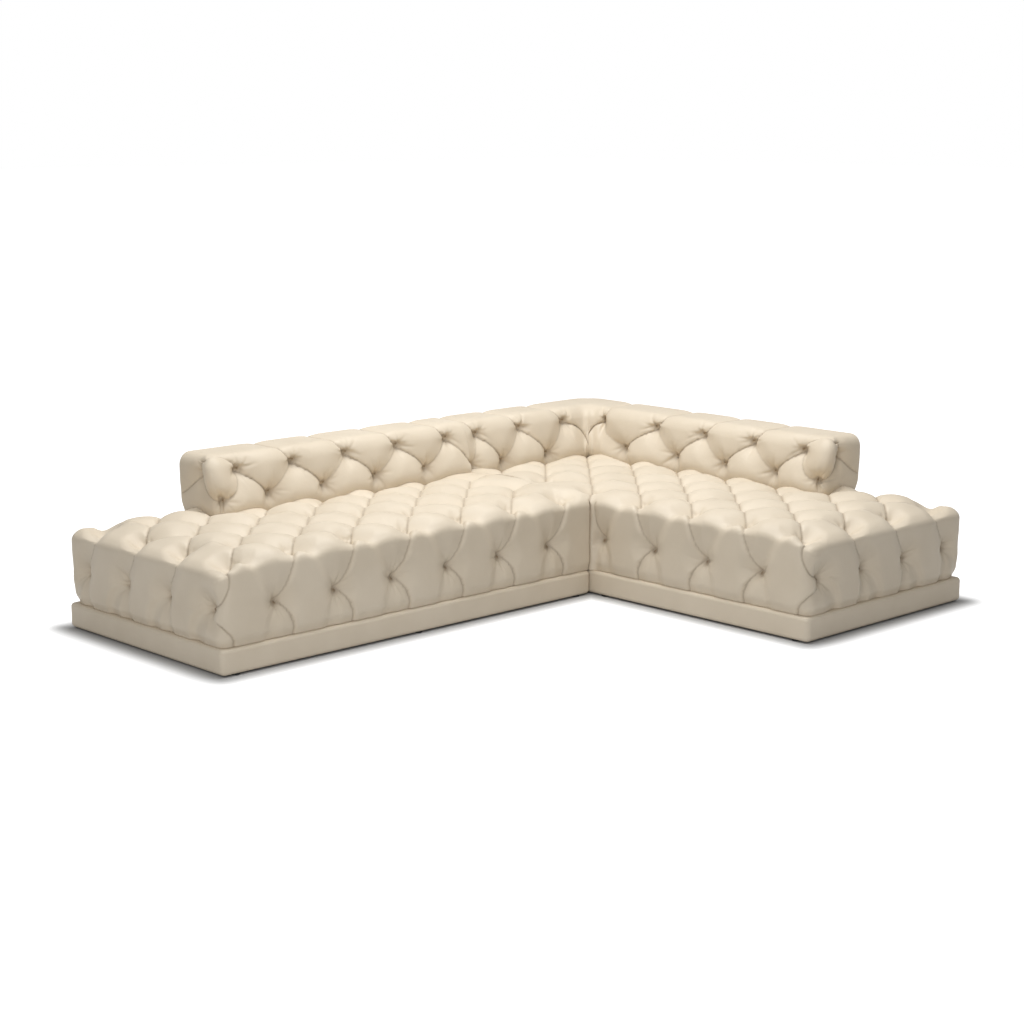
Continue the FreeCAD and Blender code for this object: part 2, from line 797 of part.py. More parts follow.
def make_right():
    length = right_length
    rears = [end_margin + tuft_pitch * i for i in range(right_tufts)]
    fronts = [x for x in rears if x > section_depth + side_bottom_inset]
    ends = [front_row_margin + 2 * row_pitch * j for j in range((seat_rows + 1) // 2)]
    side_stand = turned(0, 0, section_depth)
    wing_stand = turned(90, 0, 0)
    wanted = evenly(side_post_start, side_back_length - post_end_margin, side_back_posts)
    side_posts = [strap_gap(x) for x in wanted]
    wing_posts = [wing_post_margin, section_depth - back_thickness - wing_post_margin / 2]
    rear = section_depth + cut_through
    side_print = (-cut_through, side_back_length, section_depth - back_thickness, rear)
    wing_print = (-cut_through, back_thickness, -cut_through, rear)
    make_section("right", length, right_place, ["front"], (fronts, ends, rears, ends), (False, True),
                 [(side_stand, side_posts, side_print), (wing_stand, wing_posts, wing_print)])

    clear = mitre_clear / 2
    first = (side_back_length - back_end_margin) % back_pitch
    form = back_form(side_back_length, False, True).cut(half_space(225, -clear))
    tufts = back_tufts(side_back_length, first, back_pitch, back_thickness, back_tuft_edge)
    inner = (back_cavity_front + back_joint_wall, side_back_length - back_cavity_end)
    make_back("right_side_back", right_place.multiply(side_stand), form, side_back_length, first, back_pitch,
              tufts, inner, side_posts)

    form = back_form(section_depth, False, False).cut(half_space(-45, section_depth / math.sqrt(2) - clear))
    tufts = back_tufts(section_depth, wing_margin, wing_pitch, back_joint_wall, back_thickness)
    inner = (back_joint_wall, section_depth - back_cavity_front - back_joint_wall)
    make_back("right_rear_back", right_place.multiply(wing_stand), form, section_depth, wing_margin,
              wing_pitch, tufts, inner, wing_posts)


def main():
    os.makedirs("parts", exist_ok=True)
    make_left()
    make_right()
    make_connector()
    print("sections", left_length, right_length, "overall", total_length, total_width, back_height)


main()
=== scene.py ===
# %% [markdown]
# A low, deep-tufted leather sofa in two sections that meet in an L. The frame holds every piece at
# its real size; this lesson dresses it. First the frame is loaded, and the box of each of its
# parts can be read from it.

# %% Load the frame
import math

import bpy
import numpy as np
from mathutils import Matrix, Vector


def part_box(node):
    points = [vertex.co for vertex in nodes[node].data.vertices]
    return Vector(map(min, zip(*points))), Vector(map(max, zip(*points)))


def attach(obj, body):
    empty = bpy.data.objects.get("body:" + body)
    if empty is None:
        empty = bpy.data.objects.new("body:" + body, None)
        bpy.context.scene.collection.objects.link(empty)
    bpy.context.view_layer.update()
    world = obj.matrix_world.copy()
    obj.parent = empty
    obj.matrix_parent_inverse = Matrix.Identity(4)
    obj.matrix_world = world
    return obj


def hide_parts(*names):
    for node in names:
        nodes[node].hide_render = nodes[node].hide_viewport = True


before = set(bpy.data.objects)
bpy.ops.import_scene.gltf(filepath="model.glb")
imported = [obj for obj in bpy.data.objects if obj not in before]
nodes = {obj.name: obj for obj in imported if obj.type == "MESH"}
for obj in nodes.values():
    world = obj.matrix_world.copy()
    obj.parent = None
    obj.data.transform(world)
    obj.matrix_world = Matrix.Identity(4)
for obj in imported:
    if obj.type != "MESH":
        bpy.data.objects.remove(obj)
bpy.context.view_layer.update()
scene = bpy.context.scene
dice = np.random.default_rng(11)

# %% [markdown]
# The camera comes first, because every later choice is judged through it. It stands at the front
# left of the sofa, a little above it, and looks down by eleven degrees through a long lens.

# %% Camera
camera_place = Vector((-5.3958, -5.5636, 1.9360))
camera_heading = math.radians(46.327)
camera_dip = math.radians(11.134)
camera_lens = 70.98
sensor_width = 36
camera_look = Vector((math.cos(camera_dip) * math.cos(camera_heading),
                      math.cos(camera_dip) * math.sin(camera_heading),
                      -math.sin(camera_dip)))
camera_data = bpy.data.cameras.new("photo_camera")
camera_data.lens = camera_lens
camera_data.sensor_width = sensor_width
camera = bpy.data.objects.new("photo_camera", camera_data)
scene.collection.objects.link(camera)
camera.location = camera_place
camera.rotation_mode = "QUATERNION"
camera.rotation_quaternion = camera_look.to_track_quat("-Z", "Y")
scene.camera = camera
print("camera looks along", [round(v, 3) for v in camera_look])

# %% [markdown]
# The room is a plain white floor under one large soft lamp, with a weaker one in front. The floor
# glows for the camera and in reflections only, so that it reads as white. Its glow is dimmed
# beside the sofa, a painted shadow along the plinth on top of the shadow that the lamps cast.

# %% Room values and helpers
scene.view_settings.view_transform = "Standard"
white = (1, 1, 1, 1)
floor_grey = (0.50, 0.50, 0.50, 1)
floor_size = 120
floor_glow = 0.9
painted_shadow_reach = 0.13
room_light = 0.40


def deselect():
    for item in bpy.context.selected_objects:
        item.select_set(False)


def choose(piece):
    deselect()
    piece.select_set(True)
    bpy.context.view_layer.objects.active = piece


def new_material(name):
    material = bpy.data.materials.new(name)
    material.use_nodes = True
    material.node_tree.nodes.clear()
    return material, material.node_tree


def add_node(tree, kind, *sockets, **settings):
    """Adds a node. Each (socket, value) pair sets that socket, or joins it to an output given as value."""
    node = tree.nodes.new("ShaderNode" + kind)
    for key, value in settings.items():
        setattr(node, key, value)
    for socket, value in sockets:
        if isinstance(value, bpy.types.NodeSocket):
            tree.links.new(value, node.inputs[socket])
        else:
            node.inputs[socket].default_value = value
    return node

# %% [markdown]
# The floor's own light grows with the distance from the two plinths, which paints a shadow beside
# them, so nodes first work out how far a place on the floor lies from each of their boxes.

# %% Floor


def gap_from_box(tree, place, low, high):
    """Nodes for the distance on the floor from an upright box."""
    middle = ((low[0] + high[0]) / 2, (low[1] + high[1]) / 2, 0)
    half = ((high[0] - low[0]) / 2, (high[1] - low[1]) / 2, 1)
    steps = [("SUBTRACT", (1, middle)), ("ABSOLUTE",), ("SUBTRACT", (1, half)),
             ("MAXIMUM", (1, (0, 0, 0))), ("LENGTH",)]
    for operation, *second in steps:
        node = add_node(tree, "VectorMath", (0, place), *second, operation=operation)
        place = node.outputs[0]
    return node.outputs["Value"]


left_low, left_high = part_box("left_plinth_cover")
right_low, right_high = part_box("right_plinth_cover")


def floor_material():
    material, tree = new_material("studio_floor")
    place = add_node(tree, "TexCoord").outputs["Object"]
    path = add_node(tree, "LightPath").outputs
    gap = add_node(tree, "Math", (0, gap_from_box(tree, place, left_low, left_high)),
                   (1, gap_from_box(tree, place, right_low, right_high)), operation="MINIMUM")
    # Painted shadow: the glow fades out near the plinths and darkens the floor beside them.
    lift = add_node(tree, "MapRange", ("Value", gap.outputs[0]), ("From Max", painted_shadow_reach),
                    ("To Min", 0.0), ("To Max", floor_glow), interpolation_type="SMOOTHSTEP")
    seen = add_node(tree, "Math", (0, path["Is Camera Ray"]), (1, path["Is Glossy Ray"]), operation="MAXIMUM")
    strength = add_node(tree, "Math", (0, seen.outputs[0]), (1, lift.outputs["Result"]), operation="MULTIPLY")
    matt = add_node(tree, "BsdfDiffuse", ("Color", floor_grey))
    glow = add_node(tree, "Emission", ("Color", white), ("Strength", strength.outputs[0]))
    both = add_node(tree, "AddShader", (0, matt.outputs[0]), (1, glow.outputs[0]))
    add_node(tree, "OutputMaterial", ("Surface", both.outputs[0]))
    return material


deselect()
bpy.ops.mesh.primitive_plane_add(size=floor_size, location=(0, 0, 0))
floor = bpy.context.object
floor.name = "studio_floor"
floor.data.materials.append(floor_material())
print("floor", floor.name, "with a shadow", painted_shadow_reach, "m wide")

# %% [markdown]
# The world is white for the camera and dimmer in the light that it gives.

# %% World and lamps
world = bpy.data.worlds.new("studio")
scene.world = world
world.use_nodes = True
sky_tree = world.node_tree
sky_tree.nodes.clear()
sky_path = add_node(sky_tree, "LightPath")
sky_mix = add_node(sky_tree, "MapRange", ("Value", sky_path.outputs["Is Camera Ray"]),
                   ("To Min", room_light), ("To Max", 1.0))
sky = add_node(sky_tree, "Background", ("Color", white), ("Strength", sky_mix.outputs[0]))
add_node(sky_tree, "OutputWorld", ("Surface", sky.outputs[0]))


def soft_lamp(name, place, target, size, power):
    lamp_data = bpy.data.lights.new(name, "AREA")
    lamp_data.shape = "DISK"
    lamp_data.size = size
    lamp_data.energy = power
    lamp = bpy.data.objects.new(name, lamp_data)
    scene.collection.objects.link(lamp)
    lamp.location = place
    lamp.rotation_mode = "QUATERNION"
    lamp.rotation_quaternion = (Vector(target) - Vector(place)).to_track_quat("-Z", "Y")


soft_lamp("overhead_lamp", place=(0.2, 0.3, 4.0), target=(0.1, 0.1, 0.3), size=3.0, power=145)
soft_lamp("front_lamp", place=(-4.8, -3.5, 2.3), target=(0, 0, 0.3), size=2.5, power=80)

# %% [markdown]
# The leather is a pale cream hide with a soft sheen. Its colour drifts a little from place to
# place, painted shade darkens it down in the folds and round the pits of the sides, and two bump
# layers give it the fine pebble of the grain and the slack of a worn hide.

# %% Leather
hide_dark = (0.632, 0.546, 0.424, 1)
hide_light = (0.690, 0.604, 0.480, 1)
painted_fold_shade = (0.36, 0.29, 0.22, 1)
drift_scale = 5.0
pebble_scale = 520.0
slack_scale = 60.0


def two_tones(tree, factor, dark, light, stops):
    """A ramp from a dark to a light colour."""
    tone = add_node(tree, "ValToRGB", ("Fac", factor))
    for element, colour, stop in zip(tone.color_ramp.elements, (dark, light), stops):
        element.position = stop
        element.color = colour
    return tone.outputs["Color"]


def leather_material():
    material, tree = new_material("cream_leather")
    place = ("Vector", add_node(tree, "TexCoord").outputs["Object"])
    drift = add_node(tree, "TexNoise", place, ("Scale", drift_scale), ("Detail", 4.0))
    pebble = add_node(tree, "TexVoronoi", place, ("Scale", pebble_scale))
    slack = add_node(tree, "TexNoise", place, ("Scale", slack_scale), ("Detail", 5.0))
    tone = two_tones(tree, drift.outputs["Fac"], hide_dark, hide_light, (0.3, 0.75))
    # Painted shade: the crisp attribute multiplies the colour towards a dark tint in the folds and pits.
    fold = add_node(tree, "Attribute", attribute_name="crisp")
    shade = add_node(tree, "Mix", ("Factor", fold.outputs["Fac"]), ("A", tone), ("B", painted_fold_shade),
                     data_type="RGBA", blend_type="MULTIPLY")
    creases = add_node(tree, "Bump", ("Strength", 0.25), ("Distance", 0.0025),
                       ("Height", slack.outputs["Fac"]))
    grain = add_node(tree, "Bump", ("Strength", 0.12), ("Distance", 0.0006),
                     ("Height", pebble.outputs["Distance"]), ("Normal", creases.outputs["Normal"]))
    hide = add_node(tree, "BsdfPrincipled", ("Base Color", shade.outputs["Result"]), ("Roughness", 0.5),
                    ("Specular IOR Level", 0.35), ("Normal", grain.outputs["Normal"]))
    add_node(tree, "OutputMaterial", ("Surface", hide.outputs[0]))
    return material


leather = leather_material()
print("leather", leather.name, "between", hide_dark[:3], "and", hide_light[:3])

# %% [markdown]
# Each jacket starts as a flat grid that is drawn down at its border, cell by cell, into an open
# box. At this stage a vertex's place is only its count of cells, so the box is easy to lay out.

# %% A box of cells
tiny = 1e-9
touch = 1e-6


def cell_box(name, across, along, down):
    deselect()
    bpy.ops.mesh.primitive_grid_add(x_subdivisions=across, y_subdivisions=along, size=2)
    cover = bpy.context.object
    cover.name = name
    bpy.ops.object.mode_set(mode="EDIT")
    bpy.ops.mesh.select_all(action="SELECT")
    bpy.ops.transform.resize(value=(across / 2, along / 2, 1))
    bpy.ops.transform.translate(value=(across / 2, along / 2, 0))
    bpy.ops.mesh.select_all(action="DESELECT")
    bpy.ops.mesh.select_mode(type="EDGE")
    bpy.ops.mesh.select_non_manifold()
    for _ in range(down):
        bpy.ops.mesh.extrude_edges_move(TRANSFORM_OT_translate={"value": (0, 0, -1)})
    bpy.ops.mesh.select_all(action="SELECT")
    bpy.ops.mesh.normals_make_consistent(inside=False)
    bpy.ops.object.mode_set(mode="OBJECT")
    return cover


def read(rows, key, width, kind=np.float32):
    """One value of every vertex, edge or attribute row, as an array."""
    flat = np.empty(len(rows) * width, kind)
    rows.foreach_get(key, flat)
    return flat.reshape(-1, width)


def places_of(piece):
    return read(piece.data.vertices, "co", 3).astype(float)


def set_places(piece, places):
    piece.data.vertices.foreach_set("co", places.astype(np.float32).ravel())
    piece.data.update()


def edges_of(piece):
    return read(piece.data.edges, "vertices", 2, np.int32)


def unit(vectors):
    return vectors / np.maximum(np.linalg.norm(vectors, axis=1, keepdims=True), tiny)


def ease(t):
    t = np.clip(t, 0, 1)
    return t * t * (3 - 2 * t)

# %% [markdown]
# A block keeps the sharp box of one jacket, the radius of each edge, and which sides are free of a
# neighbour. Its skin turns places on the sharp box into places on the rounded, drawn-in form, with
# the direction that points outwards.

# %% Rounded form of a jacket
foot_curve = 1.5


class Block:
    """The box of one jacket, its rounded edges, its free sides and its drawn-in foot."""

    def __init__(self, low, high, round_low, round_high, free, foot_inset, foot_reach, lowered):
        self.low = np.array(low, float)
        self.high = np.array(high, float)
        self.round_low = np.array(round_low, float)
        self.round_high = np.array(round_high, float)
        self.free = free
        self.foot_inset = np.array(foot_inset)
        self.foot_reach = foot_reach
        self.lowered = lowered

    def skin(self, p):
        """Places on the rounded form and the outward directions there."""
        free = self.free(p)
        inner_low = self.low + np.append(self.round_low[:2], 0) * np.pad(free[:, :2], ((0, 0), (0, 1)))
        inner_low[:, 2] = self.low[2] - 1
        rounded = np.pad(free[:, 2:], ((0, 0), (0, 1)), constant_values=1)
        inner_high = self.high - self.round_high * rounded
        core = np.clip(p, inner_low, inner_high)
        out = p - core
        radius = np.where(out < 0, self.round_low, self.round_high)
        normal = unit(out / radius)
        place = core + normal * radius
        place[:, :2] -= normal[:, :2] * self.inset(place[:, 2:])
        height = self.high[2] - self.low[2]
        place[:, 2] = self.low[2] + (place[:, 2] - self.low[2]) * (1 - self.lowered(p) / height)
        return place, normal

    def inset(self, level):
        return self.foot_inset * (1 - ease((level - self.low[2]) / self.foot_reach)) ** foot_curve

# %% [markdown]
# A pleat is a fold that runs from one tuft to the next. Its route is laid out on the unfolded box:
# along a side, and from the top over the edge and down. A pit is where pleats meet and the twine
# pulls the hide in; a pleat is deepest there and shallow half-way.

# %% Pleats on the unfolded box
pleat_step = 0.0015
pleat_rise = 1.4
least_steps = 8
curve_points = 60
hands = {"front": 1, "end": 1, "rear": -1, "start": -1}


class Network:
    """The pleats and pits of one jacket, as places on its sharp box."""

    def __init__(self, block):
        self.block = block
        self.pleats = []
        self.pits = []
        self.swells = []

    def fold(self, side, s, t):
        """A place on the box, from a distance along one of its sides and a distance below its top."""
        low, high = self.block.low, self.block.high
        s, t = np.asarray(s, float), np.asarray(t, float)
        over = np.maximum(-t, 0)
        drop = high[2] - np.maximum(t, 0)
        axis = 0 if side in ("front", "rear") else 1
        past = np.maximum(low[axis] - s, 0) + np.maximum(s - high[axis], 0)
        s = np.clip(s, low[axis], high[axis])
        inward = over + past
        across = low[1 - axis] + inward if side in ("front", "start") else high[1 - axis] - inward
        return np.stack([s, across, drop] if axis == 0 else [across, s, drop], -1)

    def add(self, points, depths, width, crisp, lap=0, lap_width=0.02):
        """A pleat through places on the box, with its depth at the start, half-way and at the end.
        A lap of 1 or -1 names the side whose hide is laid over the other; it falls more steeply."""
        points = np.asarray(points, float)
        length = np.concatenate([[0], np.cumsum(np.linalg.norm(np.diff(points, axis=0), axis=1))])
        count = max(least_steps, int(length[-1] / pleat_step))
        share = np.linspace(-1, 1, count)
        along = (share + 1) / 2 * length[-1]
        fine = np.stack([np.interp(along, length, points[:, a]) for a in range(3)], 1)
        ends = np.where(share < 0, depths[0], depths[2])
        deep = depths[1] + (ends - depths[1]) * np.abs(share) ** pleat_rise
        self.pleats.append((fine, deep, width, crisp, lap, lap_width))

    def curve(self, side, controls, depths, width, crisp, lap=0, lap_width=0.02):
        """A pleat along a smooth curve with these (along, below) control places on an unfolded side."""
        t = np.linspace(0, 1, curve_points)[:, None]
        work = [np.array(c, float) * np.ones_like(t) for c in controls]
        while len(work) > 1:
            work = [a * (1 - t) + b * t for a, b in zip(work, work[1:])]
        along, below = work[0].T
        self.add(self.fold(side, along, below), depths, width, crisp, lap, lap_width)

    def pit(self, place, depth, reach, dimple, spokes, spoke_length):
        """A place where the twine pulls: a narrow pit in a wide dimple, with gathers as spokes."""
        self.pits.append((np.asarray(place, float), depth, reach, dimple, spokes, spoke_length))

    def side_pit(self, side, s, t, **sizes):
        self.pit(self.fold(side, [s], [t])[0], **sizes)

    def swell(self, place, height, reach):
        """A place where the stuffing stands further out."""
        self.swells.append((np.asarray(place, float), height, reach))

# %% [markdown]
# The pleats are pressed into the mesh in three moves. First the vertices nearest to each route slide
# onto it. Then they are joined across the cells, so that the fold follows mesh edges, which are
# marked as creases. Last, the hide sinks towards each route and into each pit.

# %% Press the pleats in
dimple_reach = 0.055
shown_fold = 0.3
slide_cells = 1.6
wide_reach = 0.03
wide_skip = 3


def nearest_on_route(places, route, reach):
    """Indices of the places within reach of a route, each with its nearest point there and the gap."""
    low, high = route.min(0) - reach, route.max(0) + reach
    near = np.nonzero(((places > low) & (places < high)).all(1))[0]
    skip = wide_skip if reach > wide_reach else 1
    gap2 = ((places[near][:, None, :] - route[::skip][None]) ** 2).sum(2)
    index = gap2.argmin(1) if len(near) else near
    gap = np.sqrt(gap2[np.arange(len(near)), index])
    keep = gap < reach
    return near[keep], np.minimum(index[keep] * skip, len(route) - 1), gap[keep]


def right_of(places, route, out, index):
    """Which places lie to the right of a route, seen from outside."""
    side = np.cross(np.gradient(route, axis=0)[index], out[index])
    return np.einsum("ij,ij->i", side, places - route[index]) >= 0


def slide_onto(base, normal, edges, crisp, route, out, strength, cell):
    """Slides the nearer end of each mesh edge that crosses a route onto that route."""
    near, index, gap = nearest_on_route(base, route, slide_cells * cell)
    if len(near) == 0 or strength < shown_fold:
        return
    beside = right_of(base[near], route, out, index)
    signed = np.full(len(base), np.nan)
    signed[near] = np.where(beside, gap + tiny, -gap - tiny)
    spot = np.zeros(len(base), int)
    spot[near] = index
    within = (spot > 0) & (spot < len(route) - 1)
    a, b = edges[:, 0], edges[:, 1]
    crossing = (signed[a] * signed[b] < 0) & within[a] & within[b]
    a, b = a[crossing], b[crossing]
    pick = np.unique(np.where(np.abs(signed[a]) < np.abs(signed[b]), a, b))
    pick = pick[crisp[pick] == 0]
    base[pick] = route[spot[pick]]
    normal[pick] = out[spot[pick]]
    crisp[pick] = strength


def join_folds(cover, crisp, square):
    """Joins the chosen vertices across the cells, and marks their edges and the joint's as creases."""
    fold = cover.data.attributes.new("crisp", "FLOAT", "POINT")
    fold.data.foreach_set("value", crisp.astype(np.float32))
    choose(cover)
    bpy.context.tool_settings.mesh_select_mode = (True, False, False)
    cover.data.vertices.foreach_set("select", crisp > 0)
    bpy.ops.object.mode_set(mode="EDIT")
    bpy.ops.mesh.vert_connect()
    bpy.ops.object.mode_set(mode="OBJECT")
    edges = edges_of(cover)
    strength = crisp[edges].min(1)
    squared = square[edges].all(1)
    crease = cover.data.attributes.new("crease_edge", "FLOAT", "EDGE")
    crease.data.foreach_set("value", np.maximum(strength, squared).astype(np.float32))
    sharp = cover.data.attributes.new("sharp_edge", "BOOLEAN", "EDGE")
    sharp.data.foreach_set("value", squared)


def press_pleats(cover, block, network, sharp, square, cell):
    """Moves the vertices of a box of cells to the tufted form."""
    base, normal = block.skin(sharp)
    edges = edges_of(cover)
    crisp = np.zeros(len(base))
    routes = [(*block.skin(pleat[0]), *pleat[1:]) for pleat in network.pleats]
    pits = [(*(v[0] for v in block.skin(pit[0][None])), *pit[1:]) for pit in network.pits]
    for spot, out, *_ in pits:
        nearest = np.argmin(((base - spot) ** 2).sum(1))
        base[nearest] = spot
        normal[nearest] = out
        crisp[nearest] = 1
    for route, out, _, _, strength, *_ in routes:
        slide_onto(base, normal, edges, crisp, route, out, strength, cell)
    join_folds(cover, crisp, square)
    flat = cover.data.attributes.new("laid_out", "FLOAT_VECTOR", "POINT")
    flat.data.foreach_set("vector", base.astype(np.float32).ravel())
    sink = np.zeros(len(base))
    for route, out, deep, width, strength, lap, lap_width in routes:
        near, index, gap = nearest_on_route(base, route, width)
        over = right_of(base[near], route, out, index) * 2 - 1 == lap
        share = np.clip(1 - gap / np.where(over, lap_width, width), 0, 1)
        tight = strength * (over | (lap == 0))
        arc = tight * (1 - np.sqrt(1 - share ** 2)) + (1 - tight) * ease(share)
        sink[near] = np.maximum(sink[near], deep[index] * arc)
    for spot, out, depth, reach, dimple, *_ in pits:
        gap = np.linalg.norm(base - spot, axis=1)
        sink += depth * np.exp(-gap / reach) + dimple * np.exp(-(gap / dimple_reach) ** 2)
    for place, height, reach in network.swells:
        spot = block.skin(place[None])[0][0]
        sink -= height * np.exp(-(((base - spot) / np.asarray(reach)) ** 2).sum(1))
    return base - normal * sink[:, None]

# %% [markdown]
# One round of subdivision rounds the puffs and leaves the folds sharp. Then the fold itself is
# tucked in, and short gathers are drawn from every pit, as the hide puckers where it is pulled.
# Shade is painted into the colour along the folds that show and round the pits of the sides.

# %% Finish a cover
tuck_depth = 0.004
pit_shade = 0.014
fold_shade = 0.55
fold_width = 0.0032
gather_depth = 0.0065
gather_width = 0.0060
gather_start = 0.012
gather_span = 1.3
gather_turn = 0.35
gather_sway = 0.3
gather_lengths = (0.55, 1.25)
gather_strengths = (0.5, 1.2)
slant = (0.13, 0.31, 0.94)
least_out = 0.5
top_out = 0.7


def subdivide(cover):
    finer = cover.modifiers.new("finer", "SUBSURF")
    finer.levels = 1
    finer.render_levels = 1
    bpy.context.view_layer.objects.active = cover
    bpy.ops.object.modifier_apply(modifier=finer.name)


def gathers(places, pits):
    """How far each place sinks into the short gathers round the pits."""
    sink = np.zeros(len(places))
    for spot, out, spokes, spoke_length in pits:
        away = places - spot
        near = np.nonzero((away ** 2).sum(1) < (gather_span * spoke_length) ** 2)[0]
        flat = away[near] - np.outer(away[near] @ out, out)
        first = np.cross(out, slant)
        first /= np.linalg.norm(first)
        second = np.cross(out, first)
        turns = np.arange(spokes) + dice.uniform(-gather_turn, gather_turn, spokes)
        angles = turns * 2 * math.pi / spokes
        for angle in angles:
            way = math.cos(angle) * first + math.sin(angle) * second
            across = math.cos(angle) * second - math.sin(angle) * first
            reach = spoke_length * dice.uniform(*gather_lengths)
            along = flat @ way
            beside = flat @ across - dice.uniform(-gather_sway, gather_sway) * along ** 2 / reach
            strength = gather_depth * dice.uniform(*gather_strengths)
            shape = ease(along / gather_start) * ease((reach - along) / reach)
            sink[near] += strength * shape * np.exp(-(beside / gather_width) ** 2)
    return sink


def fold_lines(cover, block, network):
    """How close each vertex lies to a fold that shows."""
    base = read(cover.data.attributes["laid_out"].data, "vector", 3).astype(float)
    crisp = np.zeros(len(base))
    for points, _, _, strength, *_ in network.pleats:
        if strength >= shown_fold:
            route, _ = block.skin(points)
            near, _, gap = nearest_on_route(base, route, 3 * fold_width)
            crisp[near] = np.maximum(crisp[near], strength * np.exp(-(gap / fold_width) ** 2))
    cover.data.attributes.remove(cover.data.attributes["laid_out"])
    return crisp


def close_foot(cover):
    """Closes the open underside with one flat face and turns every face outwards."""
    choose(cover)
    bpy.ops.object.mode_set(mode="EDIT")
    bpy.ops.mesh.select_mode(type="EDGE")
    bpy.ops.mesh.select_all(action="DESELECT")
    bpy.ops.mesh.select_non_manifold()
    bpy.ops.mesh.edge_face_add()
    bpy.ops.mesh.select_all(action="SELECT")
    bpy.ops.mesh.normals_make_consistent(inside=False)
    bpy.ops.object.mode_set(mode="OBJECT")
    bpy.ops.object.shade_smooth()


def finish_cover(cover, block, network, keep_clear, stand, body, replaced):
    """Refines a pressed cover, paints shade into its folds and round its side pits, moves it to its place and
    hands it to its body.
    """
    subdivide(cover)
    places = places_of(cover)
    normals = read(cover.data.vertex_normals, "vector", 3).astype(float)
    crisp = fold_lines(cover, block, network)
    pits = []
    for place, depth, _, _, spokes, spoke_length in network.pits:
        spot, out = (v[0] for v in block.skin(place[None]))
        if np.linalg.norm(out) > least_out:
            at = spot - out * 2 * depth
            nearest = places[np.argmin(((places - at) ** 2).sum(1))]
            pits.append((nearest, out, spokes, spoke_length))
    sink = gathers(places, pits) + tuck_depth * crisp ** 2
    places = places - normals * sink[:, None]
    # Painted shade: from here crisp darkens the leather colour along the folds that show and round each pit
    # of the sides.
    crisp = fold_shade * crisp
    for spot, out, *_ in pits:
        if out[2] > top_out:
            continue
        crisp = np.maximum(crisp, np.exp(-((places - spot) ** 2).sum(1) / pit_shade ** 2))
    cover.data.attributes["crisp"].data.foreach_set("value", crisp.astype(np.float32))
    places = keep_clear(places)
    set_places(cover, stand(places))
    close_foot(cover)
    cover.data.materials.append(leather)
    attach(cover, body)
    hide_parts(*replaced)
    print(cover.name, len(cover.data.vertices), "vertices,", len(network.pits), "pits")

# %% [markdown]
# A finished cover is turned and moved to its section, and at the joint its end is drawn flat.

# %% Place and joint of a cover


def quarter_turn(turn, x, y):
    """Turns a jacket's own places by quarter turns about the vertical and moves them to the frame."""
    c, s = round(math.cos(math.radians(turn))), round(math.sin(math.radians(turn)))

    def stand(p):
        across, along, up = p.T
        return np.stack([c * across - s * along + x, s * across + c * along + y, up], 1)
    return stand


def square_joint(places, sharp, face, axis, level, foot):
    """Draws the flat face of a joint down from its top edge, so that the edge keeps its line."""
    top = sharp[:, 2].max()
    edge = face & (sharp[:, 2] > top - touch)
    along = 1 - axis
    order = np.argsort(sharp[edge, along])
    at = sharp[edge, along][order]
    share = (sharp[face, 2] - foot) / (top - foot)
    crest = np.interp(sharp[face, along], at, places[edge, 2][order])
    places[face, along] = np.interp(sharp[face, along], at, places[edge, along][order])
    places[face, 2] = foot + share * (crest - foot)
    places[face, axis] = level

# %% [markdown]
# The two seats share one lattice: rows of tufts across the depth, every second row moved half a
# pitch along. Pleats run along both diagonals between them. At a free side the lattice goes on over
# the edge to a row of tufts half-way down, and from those two folds run to the plinth.

# %% Seat layout
depth = 1.0
pitch = 0.2745
half_pitch = pitch / 2
end_margin = 0.2365
column_margin = end_margin - half_pitch
front_margin = 0.085
rear_margin = 0.116
seat_rows = 7
row_pitch = (depth - front_margin - rear_margin) / (seat_rows - 1)
seat_foot = 0.1005
seat_crown = 0.430
front_drop = 0.020
front_drop_reach = 0.14
end_drop = 0.044
end_drop_reach = 0.20
back_drop = 0.014
button_level = 0.236
cell = half_pitch / 16
edge_round = 0.046
corner_round = 0.052
seat_height = seat_crown - seat_foot
seat_foot_inset = 0.014
seat_foot_reach = 0.05
joint_gap = 0.0006
left_length = left_high.x - left_low.x
right_length = right_high.y - right_low.y
back_setback = 0.505
back_foot = 0.350
back_thickness = 0.290
under_back = back_foot - 0.004
tuck_in = 0.05
button_shift = 0.026
end_shift = 0.020
tuft_sink = 0.048
open_saddle = (0.014, 0.026)
cross_saddle = (0.004, 0.034)
puff = (0.000, 0.012)
over_depths = (0.048, 0.010, 0.025)
end_depths = (0.048, 0.015, 0.026)
foot_depths = (0.025, 0.014, 0.006)
tent_depths = (0.025, 0.018, 0.012)
joint_depths = (0.048, 0.020, 0.013)
joint_width = 0.09
joint_crisp = 0.6
top_width = 0.094
over_width = 0.10
foot_width = 0.08
open_crisp = 1.0
cross_crisp = 0.35
puff_reach = (0.07, 0.07, 0.07)
dip_reach = 0.1
dip_past = 0.06
tent_feet = (0.080, -0.034)
top_pit = dict(depth=0.010, reach=0.012, dimple=0.004, spokes=5, spoke_length=0.04)
front_button = dict(depth=0.011, reach=0.014, dimple=0.011, spokes=11, spoke_length=0.085)
wide_button = {**front_button, "reach": 0.020}
print("seat lattice of", seat_rows, "rows,", round(row_pitch, 4), "m apart")

# %% [markdown]
# A seat has four kinds of pleats: the lattice of its top, folds over an edge to a button, folds from
# a button to the plinth, and those of the first button, which wrap round the upright corner.

# %% Pleats of a seat


def spread(*stops):
    """Grid lines through each stop, about one cell apart."""
    lines = [stops[0]]
    for a, b in zip(stops, stops[1:]):
        count = max(1, round((b - a) / cell))
        lines += list(np.linspace(a, b, count + 1)[1:])
    return np.array(lines)


